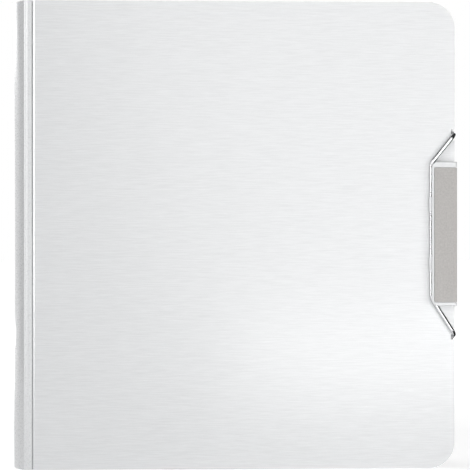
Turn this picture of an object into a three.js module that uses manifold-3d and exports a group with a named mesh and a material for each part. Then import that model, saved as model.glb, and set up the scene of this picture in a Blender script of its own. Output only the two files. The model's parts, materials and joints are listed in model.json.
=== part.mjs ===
// A white ring binder for A4 paper, closed by a wire clasp, standing on its bottom edges.
// The case is one creased board: front cover, rounded spine and back cover. The spine is at
// the left (-X), the fore-edge at the right (+X), the front cover faces -Y, and Z is up.
// The clasp hangs on the front cover, reaches round the fore-edge and rests in a catch on
// the back cover. A ring mechanism with four D-shaped rings is riveted inside the back cover.
// All sizes are in millimetres and degrees.

import * as THREE from 'three';
import { mergeVertices } from 'three/addons/utils/BufferGeometryUtils.js';
import Module from 'manifold-3d';

const wasm = await Module();
wasm.setup();

// Fits
const CLEARANCE = 0.3; // between pieces that touch on the real binder
const RUNNING = 0.4; // between pieces that move past each other
const CUT_THROUGH = 1; // how far a cutter reaches past the face it opens

// Case
const COVER_HEIGHT = 318;
const COVER_WIDTH = 287; // from the crease to the fore-edge
const BINDER_DEPTH = 56; // over both covers
const BOARD = 2.5;
const CORNER_RADIUS = 18;
const FLANGE_WIDTH = 5; // flat strip between the crease and the spine's shoulder
const SPINE_BULGE = 9.5;
const CREASE_SLIT = 0.5;
const FINGER_HOLE_DIAMETER = 24;
const FINGER_HOLE_HEIGHT = 92.4;

// Clasp wire
const WIRE_DIAMETER = 3;
const WIRE_PROUD = 1; // past the fore-edge
const CROSSBAR_INSET = 15.95; // from the fore-edge to the front bar's axis
const CROSSBAR_LENGTH = 92.5;
const CROSSBAR_SHIFT = 2.15; // the front bar sits a little above the clasp's middle
const UPPER_LEG_SPLAY = 19.1;
const LOWER_LEG_SPLAY = 24.1;
const SIDE_LEG_SPLAY = 11.6;
const CROSSBAR_BEND = 7;
const EDGE_BEND = 4;
const WIRE_JOINT_GAP = 0.6; // where the wire's two ends meet, in the catch
const NOTCH_CLEARANCE = 0.55; // the wire rounds the fore-edge, so its notches are cut deeper
const CLASP_RISE = 1; // clasp's middle above the cover's middle

// Clasp grip and its pad
const GRIP_LENGTH = 98;
const GRIP_OVERHANG = 0.4; // past the front bar's axis
const GRIP_PROUD = 0.75; // past the fore-edge
const GRIP_WALL = 0.8;
const GRIP_RIM = 0.2; // how far the rim stands over the pad
const GRIP_CORNER = 4;
const GRIP_FOLD_RADIUS = 1.6;
const GRIP_LIP = 9; // how far the lip reaches below the front bar's axis
const PAD_THICKNESS = 0.8;
const PAD_LENGTH = 91.4;
const PAD_SHIFT = -0.8;
const PAD_RIM = 1.6; // width of the rim left of the pad
const CLIP_LENGTH = 8;
const CLIP_SPACING = 76;
const CLIP_DROP = 0.6; // how far a clip reaches below the front bar's axis

// Hinge bracket under the grip
const BRACKET_WALL = 0.7;
const BRACKET_LENGTH = 56;
const BRACKET_REACH = 12.5; // from the front bar's axis
const HOOK_LENGTH = 10;
const HOOK_SPACING = 40;
const HOOK_START = -35;
const HOOK_END = 135;
const BRACKET_RIVET_SPACING = 18;
const BRACKET_RIVET_REACH = 7.5;
const SMALL_SHANK_DIAMETER = 2.5;
const SMALL_HEAD_DIAMETER = 5;
const SMALL_HEAD_THICKNESS = 0.6;

// Catch on the back cover
const CATCH_WALL = 1;
const CATCH_LENGTH = 40;
const CATCH_REACH = 16;
const CATCH_RIVET_SPACING = 24;
const CATCH_RIVET_REACH = 8;

// Ring mechanism
const RAIL_OFFSET = 34; // from the crease to the rail's middle
const RAIL_WIDTH = 28;
const RAIL_HEIGHT = 8;
const RAIL_SIDE_HEIGHT = 5;
const RAIL_SHEET = 1;
const RAIL_MARGIN = 19; // from the rail's end to the cover's edge
const LEAF_SHEET = 1;
const LEAF_AXIS_HEIGHT = 3.3;
const LEAF_AXIS_INSET = 0.5; // from the leaf's outer edge to the line it rocks on
const LEAF_HALF_SWING = 5.5;
const LEAF_END_INSET = 5;
const RING_WIRE_DIAMETER = 3;
const RING_SPACING = 80;
const RING_END_MARGIN = 18;
const RING_FOOT_OFFSET = 7; // from the rail's middle
const RING_FOOT_RISE = 7; // straight run of the round half above the leaf
const RING_HEADROOM = 5; // from the ring's top to the front cover
const RING_POST_LEAN = 3;
const RING_BELLY = 9; // how far the round half swells past its foot
const RING_BELLY_START = 6;
const RING_TOP_FLAT = 8;
const RING_POST_BEND = 6;
const RING_BELLY_BEND = 9;
const SLOT_WIDTH = 3.8;
const RAIL_RIVET_SHANK = 5;
const RAIL_RIVET_HEAD = 8;
const RAIL_RIVET_HEAD_THICKNESS = 0.8;
const LEAF_NOTCH = 4;

// Triggers at the rail's ends
const TRIGGER_SHAFT_DIAMETER = 2.6;
const TRIGGER_SHAFT_HEIGHT = 1.9;
const TRIGGER_SHAFT_INSET = 1.4;
const TRIGGER_SHEET = 1;
const TRIGGER_WIDTH = 16;
const TRIGGER_REACH = 15;
const TRIGGER_RISE = 45;
const TRIGGER_CORNER = 4;
const TONGUE_REACH = 8;
const TONGUE_WIDTH = 5;
const TONGUE_SHEET = 0.8;
const TONGUE_LIFT = 0.5; // from the cover to the tongue

// Smoothness of round shapes
const WIRE_SIDES = 12;
const RING_SIDES = 10;
const DEGREES_PER_STATION = 15;
const ROUND_SEGMENTS = 32;
const SMALL_ROUND_SEGMENTS = 20;

// Places that follow from the sizes above
const frontFace = -BINDER_DEPTH / 2;
const backFace = BINDER_DEPTH / 2;
const frontInside = frontFace + BOARD;
const backInside = backFace - BOARD;
const claspMiddle = COVER_HEIGHT / 2 + CLASP_RISE;
const wireRadius = WIRE_DIAMETER / 2;
const crossbarX = COVER_WIDTH - CROSSBAR_INSET;
const crossbarY = frontFace - CLEARANCE - wireRadius;
const catchInside = wireRadius + CLEARANCE;
const rearBarY = backFace - CLEARANCE - CATCH_WALL - catchInside - crossbarY;
const sideLegX = COVER_WIDTH + WIRE_PROUD - wireRadius - crossbarX;
const railMiddle = COVER_HEIGHT / 2;
const railLength = COVER_HEIGHT - 2 * RAIL_MARGIN;

// Palette
const CASE_WHITE = { color: 0xf1f2f3, roughness: 0.42, metalness: 0 };
const GRIP_WHITE = { color: 0xeceeef, roughness: 0.3, metalness: 0 };
const PAD_GREY = { color: 0xbab8b6, roughness: 0.85, metalness: 0 };
const CHROME = { color: 0xd8d9da, roughness: 0.16, metalness: 1 };
const NICKEL = { color: 0xc4c6c8, roughness: 0.28, metalness: 1 };
const ZINC = { color: 0xb4b7b9, roughness: 0.4, metalness: 1 };

function radians(degrees) {
  return THREE.MathUtils.degToRad(degrees);
}

function named(name, geometry, finish) {
  const mesh = new THREE.Mesh(geometry, new THREE.MeshStandardMaterial(finish));
  mesh.name = name;
  return mesh;
}

function groupAt(x, y, z, children) {
  const group = new THREE.Group();
  group.position.set(x, y, z);
  group.add(...children);
  return group;
}

// Joining and cutting
function toSolid(geometry) {
  const bare = geometry.clone();
  bare.deleteAttribute('normal');
  bare.deleteAttribute('uv');
  const welded = mergeVertices(bare);
  const mesh = new wasm.Mesh({
    numProp: 3,
    vertProperties: new Float32Array(welded.attributes.position.array),
    triVerts: new Uint32Array(welded.index.array),
  });
  return new wasm.Manifold(mesh);
}

function toGeometry(solid) {
  const mesh = solid.getMesh();
  const geometry = new THREE.BufferGeometry();
  geometry.setAttribute('position', new THREE.BufferAttribute(mesh.vertProperties, 3));
  geometry.setIndex(new THREE.BufferAttribute(mesh.triVerts, 1));
  geometry.computeVertexNormals();
  return geometry;
}

// A shape drawn in X and Y, extruded upwards
function prism(shape, bottom, top) {
  const geometry = new THREE.ExtrudeGeometry(shape, { depth: top - bottom, bevelEnabled: false });
  return geometry.translate(0, 0, bottom);
}

// A shape drawn in X and Z, extruded through the binder's depth
function plate(shape, nearY, farY) {
  const geometry = new THREE.ExtrudeGeometry(shape, { depth: farY - nearY, bevelEnabled: false });
  return geometry.rotateX(Math.PI / 2).translate(0, farY, 0);
}

function block(minX, minY, minZ, maxX, maxY, maxZ) {
  const geometry = new THREE.BoxGeometry(maxX - minX, maxY - minY, maxZ - minZ);
  return geometry.translate((minX + maxX) / 2, (minY + maxY) / 2, (minZ + maxZ) / 2);
}

function rod(radius, from, to, segments) {
  const axis = new THREE.Vector3().subVectors(to, from);
  const geometry = new THREE.CylinderGeometry(radius, radius, axis.length(), segments);
  const up = new THREE.Vector3(0, 1, 0);
  const turn = new THREE.Quaternion().setFromUnitVectors(up, axis.clone().normalize());
  const middle = new THREE.Vector3().addVectors(from, to).multiplyScalar(0.5);
  return geometry.applyQuaternion(turn).translate(middle.x, middle.y, middle.z);
}

function drilled(solid, x, z, diameter, nearY, farY) {
  const from = new THREE.Vector3(x, nearY, z);
  const to = new THREE.Vector3(x, farY, z);
  return solid.subtract(toSolid(rod(diameter / 2, from, to, SMALL_ROUND_SEGMENTS)));
}

// The centre line of a bent wire: straight runs joined by round bends, with a station at each
// end of a run and every few degrees of a bend
class WirePath extends THREE.Curve {
  constructor(corners, bendRadii) {
    super();
    this.stations = [];
    this.addStation(corners[0], this.direction(corners[0], corners[1]));
    for (let i = 1; i < corners.length - 1; i += 1) {
      this.addBend(corners[i - 1], corners[i], corners[i + 1], bendRadii[i - 1]);
    }
    const last = corners.length - 1;
    this.addStation(corners[last], this.direction(corners[last - 1], corners[last]));
  }

  direction(from, to) {
    return new THREE.Vector3().subVectors(to, from).normalize();
  }

  addStation(point, tangent) {
    this.stations.push({ point: point.clone(), tangent: tangent.clone() });
  }

  addBend(before, corner, after, wishedRadius) {
    const incoming = this.direction(before, corner);
    const outgoing = this.direction(corner, after);
    const turn = incoming.angleTo(outgoing);
    const shortRun = Math.min(before.distanceTo(corner), corner.distanceTo(after)) / 2;
    const radius = Math.min(wishedRadius, shortRun / Math.tan(turn / 2));
    const start = corner.clone().addScaledVector(incoming, -radius * Math.tan(turn / 2));
    const inward = outgoing.clone().addScaledVector(incoming, -Math.cos(turn)).normalize();
    const steps = Math.max(2, Math.ceil(THREE.MathUtils.radToDeg(turn) / DEGREES_PER_STATION));
    for (let i = 0; i <= steps; i += 1) {
      const angle = (turn * i) / steps;
      const point = start.clone().addScaledVector(incoming, radius * Math.sin(angle));
      point.addScaledVector(inward, radius * (1 - Math.cos(angle)));
      const tangent = incoming.clone().multiplyScalar(Math.cos(angle));
      tangent.addScaledVector(inward, Math.sin(angle));
      this.addStation(point, tangent);
    }
  }

  get steps() {
    return this.stations.length - 1;
  }

  getPointAt(u, target = new THREE.Vector3()) {
    return target.copy(this.stations[Math.round(u * this.steps)].point);
  }

  getTangentAt(u, target = new THREE.Vector3()) {
    return target.copy(this.stations[Math.round(u * this.steps)].tangent);
  }
}

function bentWire(diameter, sides, corners, bendRadii) {
  const path = new WirePath(corners, bendRadii);
  const section = new THREE.Shape();
  for (let i = 0; i < sides; i += 1) {
    const angle = (2 * Math.PI * i) / sides;
    const x = (diameter / 2) * Math.cos(angle);
    const y = (diameter / 2) * Math.sin(angle);
    if (i === 0) section.moveTo(x, y);
    else section.lineTo(x, y);
  }
  section.closePath();
  return new THREE.ExtrudeGeometry(section, { steps: path.steps, extrudePath: path });
}

// A rivet along Y: a head, a shank and the tail that is closed over on the far side
function rivet(name, x, z, faces, shankDiameter, headDiameter) {
  const [headTop, headUnder, tailUnder, tailTop] = faces;
  const shank = shankDiameter / 2;
  const head = headDiameter / 2;
  const profile = [
    new THREE.Vector2(0, headTop),
    new THREE.Vector2(head, headTop),
    new THREE.Vector2(head, headUnder),
    new THREE.Vector2(shank, headUnder),
    new THREE.Vector2(shank, tailUnder),
    new THREE.Vector2(head, tailUnder),
    new THREE.Vector2(head, tailTop),
    new THREE.Vector2(0, tailTop),
  ];
  const mesh = named(name, new THREE.LatheGeometry(profile, SMALL_ROUND_SEGMENTS), ZINC);
  mesh.position.set(x, 0, z);
  return mesh;
}

// Covers: a board with two round corners, and notches let into its fore-edge
function coverShape(notches) {
  const shape = new THREE.Shape();
  const inner = CREASE_SLIT / 2;
  shape.moveTo(inner, COVER_HEIGHT);
  shape.lineTo(inner, 0);
  shape.absarc(COVER_WIDTH - CORNER_RADIUS, CORNER_RADIUS, CORNER_RADIUS, -Math.PI / 2, 0, false);
  for (const { bottom, top, depth } of notches) {
    shape.lineTo(COVER_WIDTH, bottom);
    shape.lineTo(COVER_WIDTH - depth, bottom);
    shape.lineTo(COVER_WIDTH - depth, top);
    shape.lineTo(COVER_WIDTH, top);
  }
  const upper = COVER_HEIGHT - CORNER_RADIUS;
  shape.absarc(COVER_WIDTH - CORNER_RADIUS, upper, CORNER_RADIUS, 0, Math.PI / 2, false);
  shape.closePath();
  return shape;
}

// Heights on the clasp, measured from its middle
const crossbarTop = CROSSBAR_SHIFT + CROSSBAR_LENGTH / 2;
const crossbarBottom = CROSSBAR_SHIFT - CROSSBAR_LENGTH / 2;
const edgeTop = crossbarTop + UPPER_LEG_SPLAY;
const edgeBottom = crossbarBottom - LOWER_LEG_SPLAY;
const rearTop = edgeTop + SIDE_LEG_SPLAY;
const rearBottom = edgeBottom - SIDE_LEG_SPLAY;

// Places on the grip, measured from the front bar's axis: "over" counts outwards from it
const hookOuter = wireRadius + CLEARANCE + BRACKET_WALL;
const gripUnderside = hookOuter + CLEARANCE;
const pocketFloor = gripUnderside + GRIP_WALL;
const padOver = pocketFloor + CLEARANCE + PAD_THICKNESS;
const rimOver = padOver + GRIP_RIM;
const gripRight = CROSSBAR_INSET + GRIP_PROUD;
const gripSheet = rimOver - gripUnderside;
const pocketDepth = rimOver - pocketFloor;
const lipInside = gripRight - gripSheet;

function frontCover() {
  const notchHalf = wireRadius + EDGE_BEND / 2 + RUNNING;
  const wireNotch = WIRE_DIAMETER - WIRE_PROUD + NOTCH_CLEARANCE;
  const lipNotch = CROSSBAR_INSET - lipInside + RUNNING;
  const grip = GRIP_LENGTH / 2 + RUNNING;
  const notches = [
    { bottom: edgeBottom - notchHalf, top: edgeBottom + notchHalf, depth: wireNotch },
    { bottom: -grip, top: grip, depth: lipNotch },
    { bottom: edgeTop - notchHalf, top: edgeTop + notchHalf, depth: wireNotch },
  ];
  for (const notch of notches) {
    notch.bottom += claspMiddle;
    notch.top += claspMiddle;
  }
  let board = toSolid(plate(coverShape(notches), frontFace, frontInside));
  for (const side of [-1, 1]) {
    const x = crossbarX + BRACKET_RIVET_REACH;
    const z = claspMiddle + (side * BRACKET_RIVET_SPACING) / 2;
    const hole = SMALL_SHANK_DIAMETER + 2 * CLEARANCE;
    board = drilled(board, x, z, hole, frontFace - CUT_THROUGH, frontInside + CUT_THROUGH);
  }
  return named('front_cover', toGeometry(board), CASE_WHITE);
}

// Spine: a channel with a rounded crown and a flange along each crease
function spine() {
  const half = BINDER_DEPTH / 2;
  const outerRadius = (half * half + SPINE_BULGE * SPINE_BULGE) / (2 * SPINE_BULGE);
  const innerRadius = outerRadius - BOARD;
  const centreX = outerRadius - FLANGE_WIDTH - SPINE_BULGE;
  const edge = -CREASE_SLIT / 2;
  const outerAngle = Math.PI - Math.asin(half / outerRadius);
  const innerAngle = Math.PI - Math.asin(backInside / innerRadius);
  const shape = new THREE.Shape();
  shape.moveTo(edge, frontInside);
  shape.lineTo(edge, frontFace);
  shape.absarc(centreX, 0, outerRadius, -outerAngle, outerAngle - 2 * Math.PI, true);
  shape.lineTo(edge, backFace);
  shape.lineTo(edge, backInside);
  shape.absarc(centreX, 0, innerRadius, innerAngle, 2 * Math.PI - innerAngle, false);
  shape.closePath();
  const outside = new THREE.Vector3(-FLANGE_WIDTH - SPINE_BULGE - CUT_THROUGH, 0, FINGER_HOLE_HEIGHT);
  const inside = new THREE.Vector3(0, 0, FINGER_HOLE_HEIGHT);
  const hole = toSolid(rod(FINGER_HOLE_DIAMETER / 2, outside, inside, ROUND_SEGMENTS));
  return named('spine', toGeometry(toSolid(prism(shape, 0, COVER_HEIGHT)).subtract(hole)), CASE_WHITE);
}

// The clasp's wire, drawn from its middle on the front bar's axis
function claspWire() {
  const at = (x, y, z) => new THREE.Vector3(x, y, z);
  const corners = [
    at(sideLegX, rearBarY, -WIRE_JOINT_GAP / 2),
    at(sideLegX, rearBarY, rearBottom),
    at(sideLegX, 0, edgeBottom),
    at(0, 0, crossbarBottom),
    at(0, 0, crossbarTop),
    at(sideLegX, 0, edgeTop),
    at(sideLegX, rearBarY, rearTop),
    at(sideLegX, rearBarY, WIRE_JOINT_GAP / 2),
  ];
  const bends = [EDGE_BEND, EDGE_BEND, CROSSBAR_BEND, CROSSBAR_BEND, EDGE_BEND, EDGE_BEND];
  return named('clasp_wire', bentWire(WIRE_DIAMETER, WIRE_SIDES, corners, bends), CHROME);
}

// The grip's section: a face over the cover, folded down past the fore-edge
function foldedSection(left, over, right, lipEnd, sheet, foldRadius) {
  const shape = new THREE.Shape();
  shape.moveTo(left, sheet - over);
  shape.lineTo(left, -over);
  shape.absarc(right - foldRadius, foldRadius - over, foldRadius, -Math.PI / 2, 0, false);
  shape.lineTo(right, lipEnd);
  shape.lineTo(right - sheet, lipEnd);
  shape.lineTo(right - sheet, sheet - over);
  shape.closePath();
  return shape;
}

function roundedLeftShape(left, right, halfHeight, radius) {
  const shape = new THREE.Shape();
  shape.moveTo(right, -halfHeight);
  shape.lineTo(right, halfHeight);
  shape.absarc(left + radius, halfHeight - radius, radius, Math.PI / 2, Math.PI, false);
  shape.absarc(left + radius, radius - halfHeight, radius, Math.PI, 1.5 * Math.PI, false);
  shape.closePath();
  return shape;
}

function claspGrip() {
  const half = GRIP_LENGTH / 2;
  const left = -GRIP_OVERHANG;
  const section = foldedSection(left, rimOver, gripRight, GRIP_LIP, gripSheet, GRIP_FOLD_RADIUS);
  const outline = roundedLeftShape(left, gripRight + CUT_THROUGH, half, GRIP_CORNER);
  const outlinePlate = plate(outline, -rimOver - CUT_THROUGH, GRIP_LIP + CUT_THROUGH);
  let grip = toSolid(prism(section, -half, half)).intersect(toSolid(outlinePlate));
  const padHalf = PAD_LENGTH / 2 + CLEARANCE;
  const pocketSection = foldedSection(
    left + PAD_RIM - CLEARANCE,
    rimOver + CUT_THROUGH,
    gripRight + CUT_THROUGH,
    GRIP_LIP - GRIP_WALL,
    pocketDepth + CUT_THROUGH,
    GRIP_FOLD_RADIUS,
  );
  const pocket = prism(pocketSection, PAD_SHIFT - padHalf, PAD_SHIFT + padHalf);
  grip = grip.subtract(toSolid(pocket));
  const channel = wireRadius + CLEARANCE;
  for (const side of [-1, 1]) {
    const middle = (side * CLIP_SPACING) / 2;
    const bottom = middle - CLIP_LENGTH / 2;
    const top = middle + CLIP_LENGTH / 2;
    const right = channel + GRIP_WALL;
    const clip = toSolid(block(left, -gripUnderside - GRIP_WALL / 2, bottom, right, CLIP_DROP, top));
    const from = new THREE.Vector3(0, 0, bottom - CUT_THROUGH);
    const to = new THREE.Vector3(0, 0, top + CUT_THROUGH);
    grip = grip.add(clip.subtract(toSolid(rod(channel, from, to, ROUND_SEGMENTS))));
  }
  return named('clasp_grip', toGeometry(grip), GRIP_WHITE);
}

function claspPad() {
  const section = foldedSection(
    PAD_RIM - GRIP_OVERHANG,
    padOver,
    gripRight,
    GRIP_LIP - GRIP_WALL - CLEARANCE,
    PAD_THICKNESS,
    PAD_THICKNESS,
  );
  const half = PAD_LENGTH / 2;
  return named('clasp_pad', prism(section, PAD_SHIFT - half, PAD_SHIFT + half), PAD_GREY);
}

// Hinge bracket: a strip riveted to the front cover, with two hooks round the front bar
function hookShape() {
  const inner = wireRadius + CLEARANCE;
  const start = radians(-HOOK_START);
  const end = radians(-HOOK_END);
  const shape = new THREE.Shape();
  shape.absarc(0, 0, hookOuter, start, end, true);
  shape.absarc(0, 0, inner, end, start, false);
  shape.closePath();
  return shape;
}

const bracketUnder = wireRadius; // the strip lies on the cover with one clearance under it
const bracketOver = bracketUnder - BRACKET_WALL;

function claspBracket() {
  const left = wireRadius + CLEARANCE;
  const half = BRACKET_LENGTH / 2;
  const near = bracketOver - CUT_THROUGH;
  const far = bracketUnder + CUT_THROUGH;
  let strip = toSolid(block(left, bracketOver, -half, BRACKET_REACH, bracketUnder, half));
  for (const side of [-1, 1]) {
    const middle = (side * HOOK_SPACING) / 2;
    const hook = prism(hookShape(), middle - HOOK_LENGTH / 2, middle + HOOK_LENGTH / 2);
    strip = strip.add(toSolid(hook));
    const z = (side * BRACKET_RIVET_SPACING) / 2;
    strip = drilled(strip, BRACKET_RIVET_REACH, z, SMALL_SHANK_DIAMETER + 2 * CLEARANCE, near, far);
  }
  const mesh = named('clasp_bracket', toGeometry(strip), ZINC);
  mesh.position.set(crossbarX, crossbarY, claspMiddle);
  return mesh;
}

function bracketRivet(name, side) {
  const z = claspMiddle + (side * BRACKET_RIVET_SPACING) / 2;
  const headUnder = crossbarY + bracketOver - CLEARANCE;
  const tailUnder = frontInside + CLEARANCE;
  const faces = [headUnder - SMALL_HEAD_THICKNESS, headUnder, tailUnder, tailUnder + SMALL_HEAD_THICKNESS];
  const x = crossbarX + BRACKET_RIVET_REACH;
  return rivet(name, x, z, faces, SMALL_SHANK_DIAMETER, SMALL_HEAD_DIAMETER);
}

// Catch: a strip inside the back cover, folded round the rear bar's seat
const rearBarX = crossbarX + sideLegX;
const rearBarDepth = crossbarY + rearBarY;
const catchWallX = rearBarX - catchInside - CATCH_WALL;
const catchStripOver = backInside - CLEARANCE - CATCH_WALL;
const catchRivetX = catchWallX - CATCH_RIVET_REACH;

function catchPiece() {
  const shape = new THREE.Shape();
  const stripUnder = catchStripOver + CATCH_WALL;
  const seat = rearBarDepth + catchInside;
  shape.moveTo(catchWallX - CATCH_REACH, catchStripOver);
  shape.lineTo(catchWallX + CATCH_WALL, catchStripOver);
  shape.lineTo(catchWallX + CATCH_WALL, seat);
  shape.lineTo(COVER_WIDTH, seat);
  shape.lineTo(COVER_WIDTH, seat + CATCH_WALL);
  shape.lineTo(catchWallX, seat + CATCH_WALL);
  shape.lineTo(catchWallX, stripUnder);
  shape.lineTo(catchWallX - CATCH_REACH, stripUnder);
  shape.closePath();
  const bottom = claspMiddle - CATCH_LENGTH / 2;
  let body = toSolid(prism(shape, bottom, bottom + CATCH_LENGTH));
  for (const side of [-1, 1]) {
    const z = claspMiddle + (side * CATCH_RIVET_SPACING) / 2;
    const hole = SMALL_SHANK_DIAMETER + 2 * CLEARANCE;
    body = drilled(body, catchRivetX, z, hole, catchStripOver - CUT_THROUGH, stripUnder + CUT_THROUGH);
  }
  return named('catch', toGeometry(body), ZINC);
}

function catchRivet(name, side) {
  const z = claspMiddle + (side * CATCH_RIVET_SPACING) / 2;
  const headUnder = catchStripOver - CLEARANCE;
  const faces = [headUnder - SMALL_HEAD_THICKNESS, headUnder, backFace - SMALL_HEAD_THICKNESS, backFace];
  return rivet(name, catchRivetX, z, faces, SMALL_SHANK_DIAMETER, SMALL_HEAD_DIAMETER);
}

// Ring mechanism. Heights in it count from the back cover's inner face towards the front
const ringCount = Math.floor((railLength - 2 * RING_END_MARGIN) / RING_SPACING) + 1;
const railRivetHeights = [-1, 1].map((side) => railMiddle + side * RING_SPACING);
const leafAxisOffset = RAIL_WIDTH / 2 - RAIL_SHEET - CLEARANCE - LEAF_AXIS_INSET;

function overBackCover(height) {
  return backInside - height;
}

function ringHeight(index) {
  return railMiddle + (index - (ringCount - 1) / 2) * RING_SPACING;
}

function backCover() {
  const margin = wireRadius + RUNNING;
  const recess = {
    bottom: claspMiddle + rearBottom - margin,
    top: claspMiddle + rearTop + margin,
    depth: COVER_WIDTH - catchWallX + CLEARANCE,
  };
  let board = toSolid(plate(coverShape([recess]), backInside, backFace));
  const railHole = RAIL_RIVET_SHANK + 2 * CLEARANCE;
  const railSink = RAIL_RIVET_HEAD + 2 * CLEARANCE;
  const inner = backInside - CUT_THROUGH;
  const outer = backFace + CUT_THROUGH;
  for (const z of railRivetHeights) {
    const sinkFloor = backFace - RAIL_RIVET_HEAD_THICKNESS - CLEARANCE;
    board = drilled(board, RAIL_OFFSET, z, railHole, inner, outer);
    board = drilled(board, RAIL_OFFSET, z, railSink, sinkFloor, outer);
  }
  const catchHole = SMALL_SHANK_DIAMETER + 2 * CLEARANCE;
  const catchSink = SMALL_HEAD_DIAMETER + 2 * CLEARANCE;
  for (const side of [-1, 1]) {
    const z = claspMiddle + (side * CATCH_RIVET_SPACING) / 2;
    const sinkFloor = backFace - SMALL_HEAD_THICKNESS - CLEARANCE;
    board = drilled(board, catchRivetX, z, catchHole, inner, outer);
    board = drilled(board, catchRivetX, z, catchSink, sinkFloor, outer);
  }
  return named('back_cover', toGeometry(board), CASE_WHITE);
}

function rail() {
  const half = RAIL_WIDTH / 2;
  const sagitta = RAIL_HEIGHT - RAIL_SIDE_HEIGHT;
  const radius = (half * half + sagitta * sagitta) / (2 * sagitta);
  const innerHalf = half - RAIL_SHEET;
  const innerRadius = radius - RAIL_SHEET;
  const centre = overBackCover(RAIL_HEIGHT - radius);
  const foot = overBackCover(CLEARANCE);
  const outerAngle = Math.asin(half / radius);
  const innerAngle = Math.asin(innerHalf / innerRadius);
  const up = -Math.PI / 2;
  const shape = new THREE.Shape();
  shape.moveTo(-innerHalf, foot);
  shape.lineTo(-half, foot);
  shape.absarc(0, centre, radius, up - outerAngle, up + outerAngle, false);
  shape.lineTo(half, foot);
  shape.lineTo(innerHalf, foot);
  shape.absarc(0, centre, innerRadius, up + innerAngle, up - innerAngle, true);
  shape.closePath();
  let body = toSolid(prism(shape, railMiddle - railLength / 2, railMiddle + railLength / 2));
  const slotInner = RING_FOOT_OFFSET - RING_WIRE_DIAMETER / 2 - RUNNING;
  const slotOuter = leafAxisOffset - RUNNING;
  for (let index = 0; index < ringCount; index += 1) {
    for (const side of [-1, 1]) {
      const from = Math.min(side * slotInner, side * slotOuter);
      const to = Math.max(side * slotInner, side * slotOuter);
      const bottom = ringHeight(index) - SLOT_WIDTH / 2;
      const near = overBackCover(RAIL_HEIGHT + CUT_THROUGH);
      const far = overBackCover(RAIL_SIDE_HEIGHT - RAIL_SHEET);
      body = body.subtract(toSolid(block(from, near, bottom, to, far, bottom + SLOT_WIDTH)));
    }
  }
  for (const z of railRivetHeights) {
    const hole = RAIL_RIVET_SHANK + 2 * CLEARANCE;
    const near = overBackCover(RAIL_HEIGHT + CUT_THROUGH);
    body = drilled(body, 0, z, hole, near, overBackCover(RAIL_SIDE_HEIGHT));
  }
  const mesh = named('rail', toGeometry(body), NICKEL);
  mesh.position.x = RAIL_OFFSET;
  return mesh;
}

function railRivet(name, z) {
  const headUnder = overBackCover(RAIL_HEIGHT + CLEARANCE);
  const sheet = RAIL_RIVET_HEAD_THICKNESS;
  const faces = [headUnder - sheet, headUnder, backFace - sheet, backFace];
  return rivet(name, RAIL_OFFSET, z, faces, RAIL_RIVET_SHANK, RAIL_RIVET_HEAD);
}

// A leaf rocks on the rail's side wall and carries one half of each ring. Drawn for the left
// side (side -1) or the right (side 1) from the line that it rocks on
function leaf(name, side) {
  const outer = side * LEAF_AXIS_INSET;
  const inner = -side * (leafAxisOffset - CLEARANCE);
  const bottom = railMiddle - railLength / 2 + LEAF_END_INSET;
  const top = railMiddle + railLength / 2 - LEAF_END_INSET;
  const half = LEAF_SHEET / 2;
  const left = Math.min(outer, inner);
  const right = Math.max(outer, inner);
  let body = toSolid(block(left, -half, bottom, right, half, top));
  const near = inner - LEAF_NOTCH;
  const far = inner + LEAF_NOTCH;
  for (const z of railRivetHeights) {
    const notch = block(near, -LEAF_SHEET, z - LEAF_NOTCH, far, LEAF_SHEET, z + LEAF_NOTCH);
    body = body.subtract(toSolid(notch));
  }
  const mesh = named(name, toGeometry(body), ZINC);
  mesh.rotation.z = side * radians(-LEAF_HALF_SWING);
  return mesh;
}

// The straight half of a ring stands on the right leaf, the round half on the left one
function ringHalf(name, side, z) {
  const axisX = side * leafAxisOffset;
  const ringTop = BINDER_DEPTH - 2 * BOARD - RING_HEADROOM - RING_WIRE_DIAMETER / 2;
  const footX = side * RING_FOOT_OFFSET;
  const leafDrop = (leafAxisOffset - RING_FOOT_OFFSET) * Math.sin(radians(LEAF_HALF_SWING));
  const foot = LEAF_AXIS_HEIGHT - leafDrop + LEAF_SHEET / 2 + RUNNING;
  const tip = (side * CLEARANCE) / 2;
  const at = (x, height) => new THREE.Vector3(x - axisX, LEAF_AXIS_HEIGHT - height, z);
  const straight = [
    at(footX, foot),
    at(footX + side * RING_POST_LEAN, ringTop),
    at(tip, ringTop),
  ];
  const belly = footX + side * RING_BELLY;
  const round = [
    at(footX, foot),
    at(footX, foot + RING_FOOT_RISE),
    at(belly, foot + RING_FOOT_RISE + RING_BELLY_START),
    at(belly, ringTop - RING_BELLY),
    at(side * RING_TOP_FLAT, ringTop),
    at(tip, ringTop),
  ];
  const bends = [RING_POST_BEND, RING_BELLY_BEND, RING_BELLY_BEND, RING_BELLY_BEND];
  const isStraight = side > 0;
  const corners = isStraight ? straight : round;
  const radii = isStraight ? [RING_POST_BEND] : bends;
  return named(name, bentWire(RING_WIRE_DIAMETER, RING_SIDES, corners, radii), CHROME);
}

function ringHalves(sideName, side) {
  const halves = [];
  for (let index = 0; index < ringCount; index += 1) {
    halves.push(ringHalf(`ring_${index + 1}_${sideName}`, side, ringHeight(index)));
  }
  return halves;
}

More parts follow.
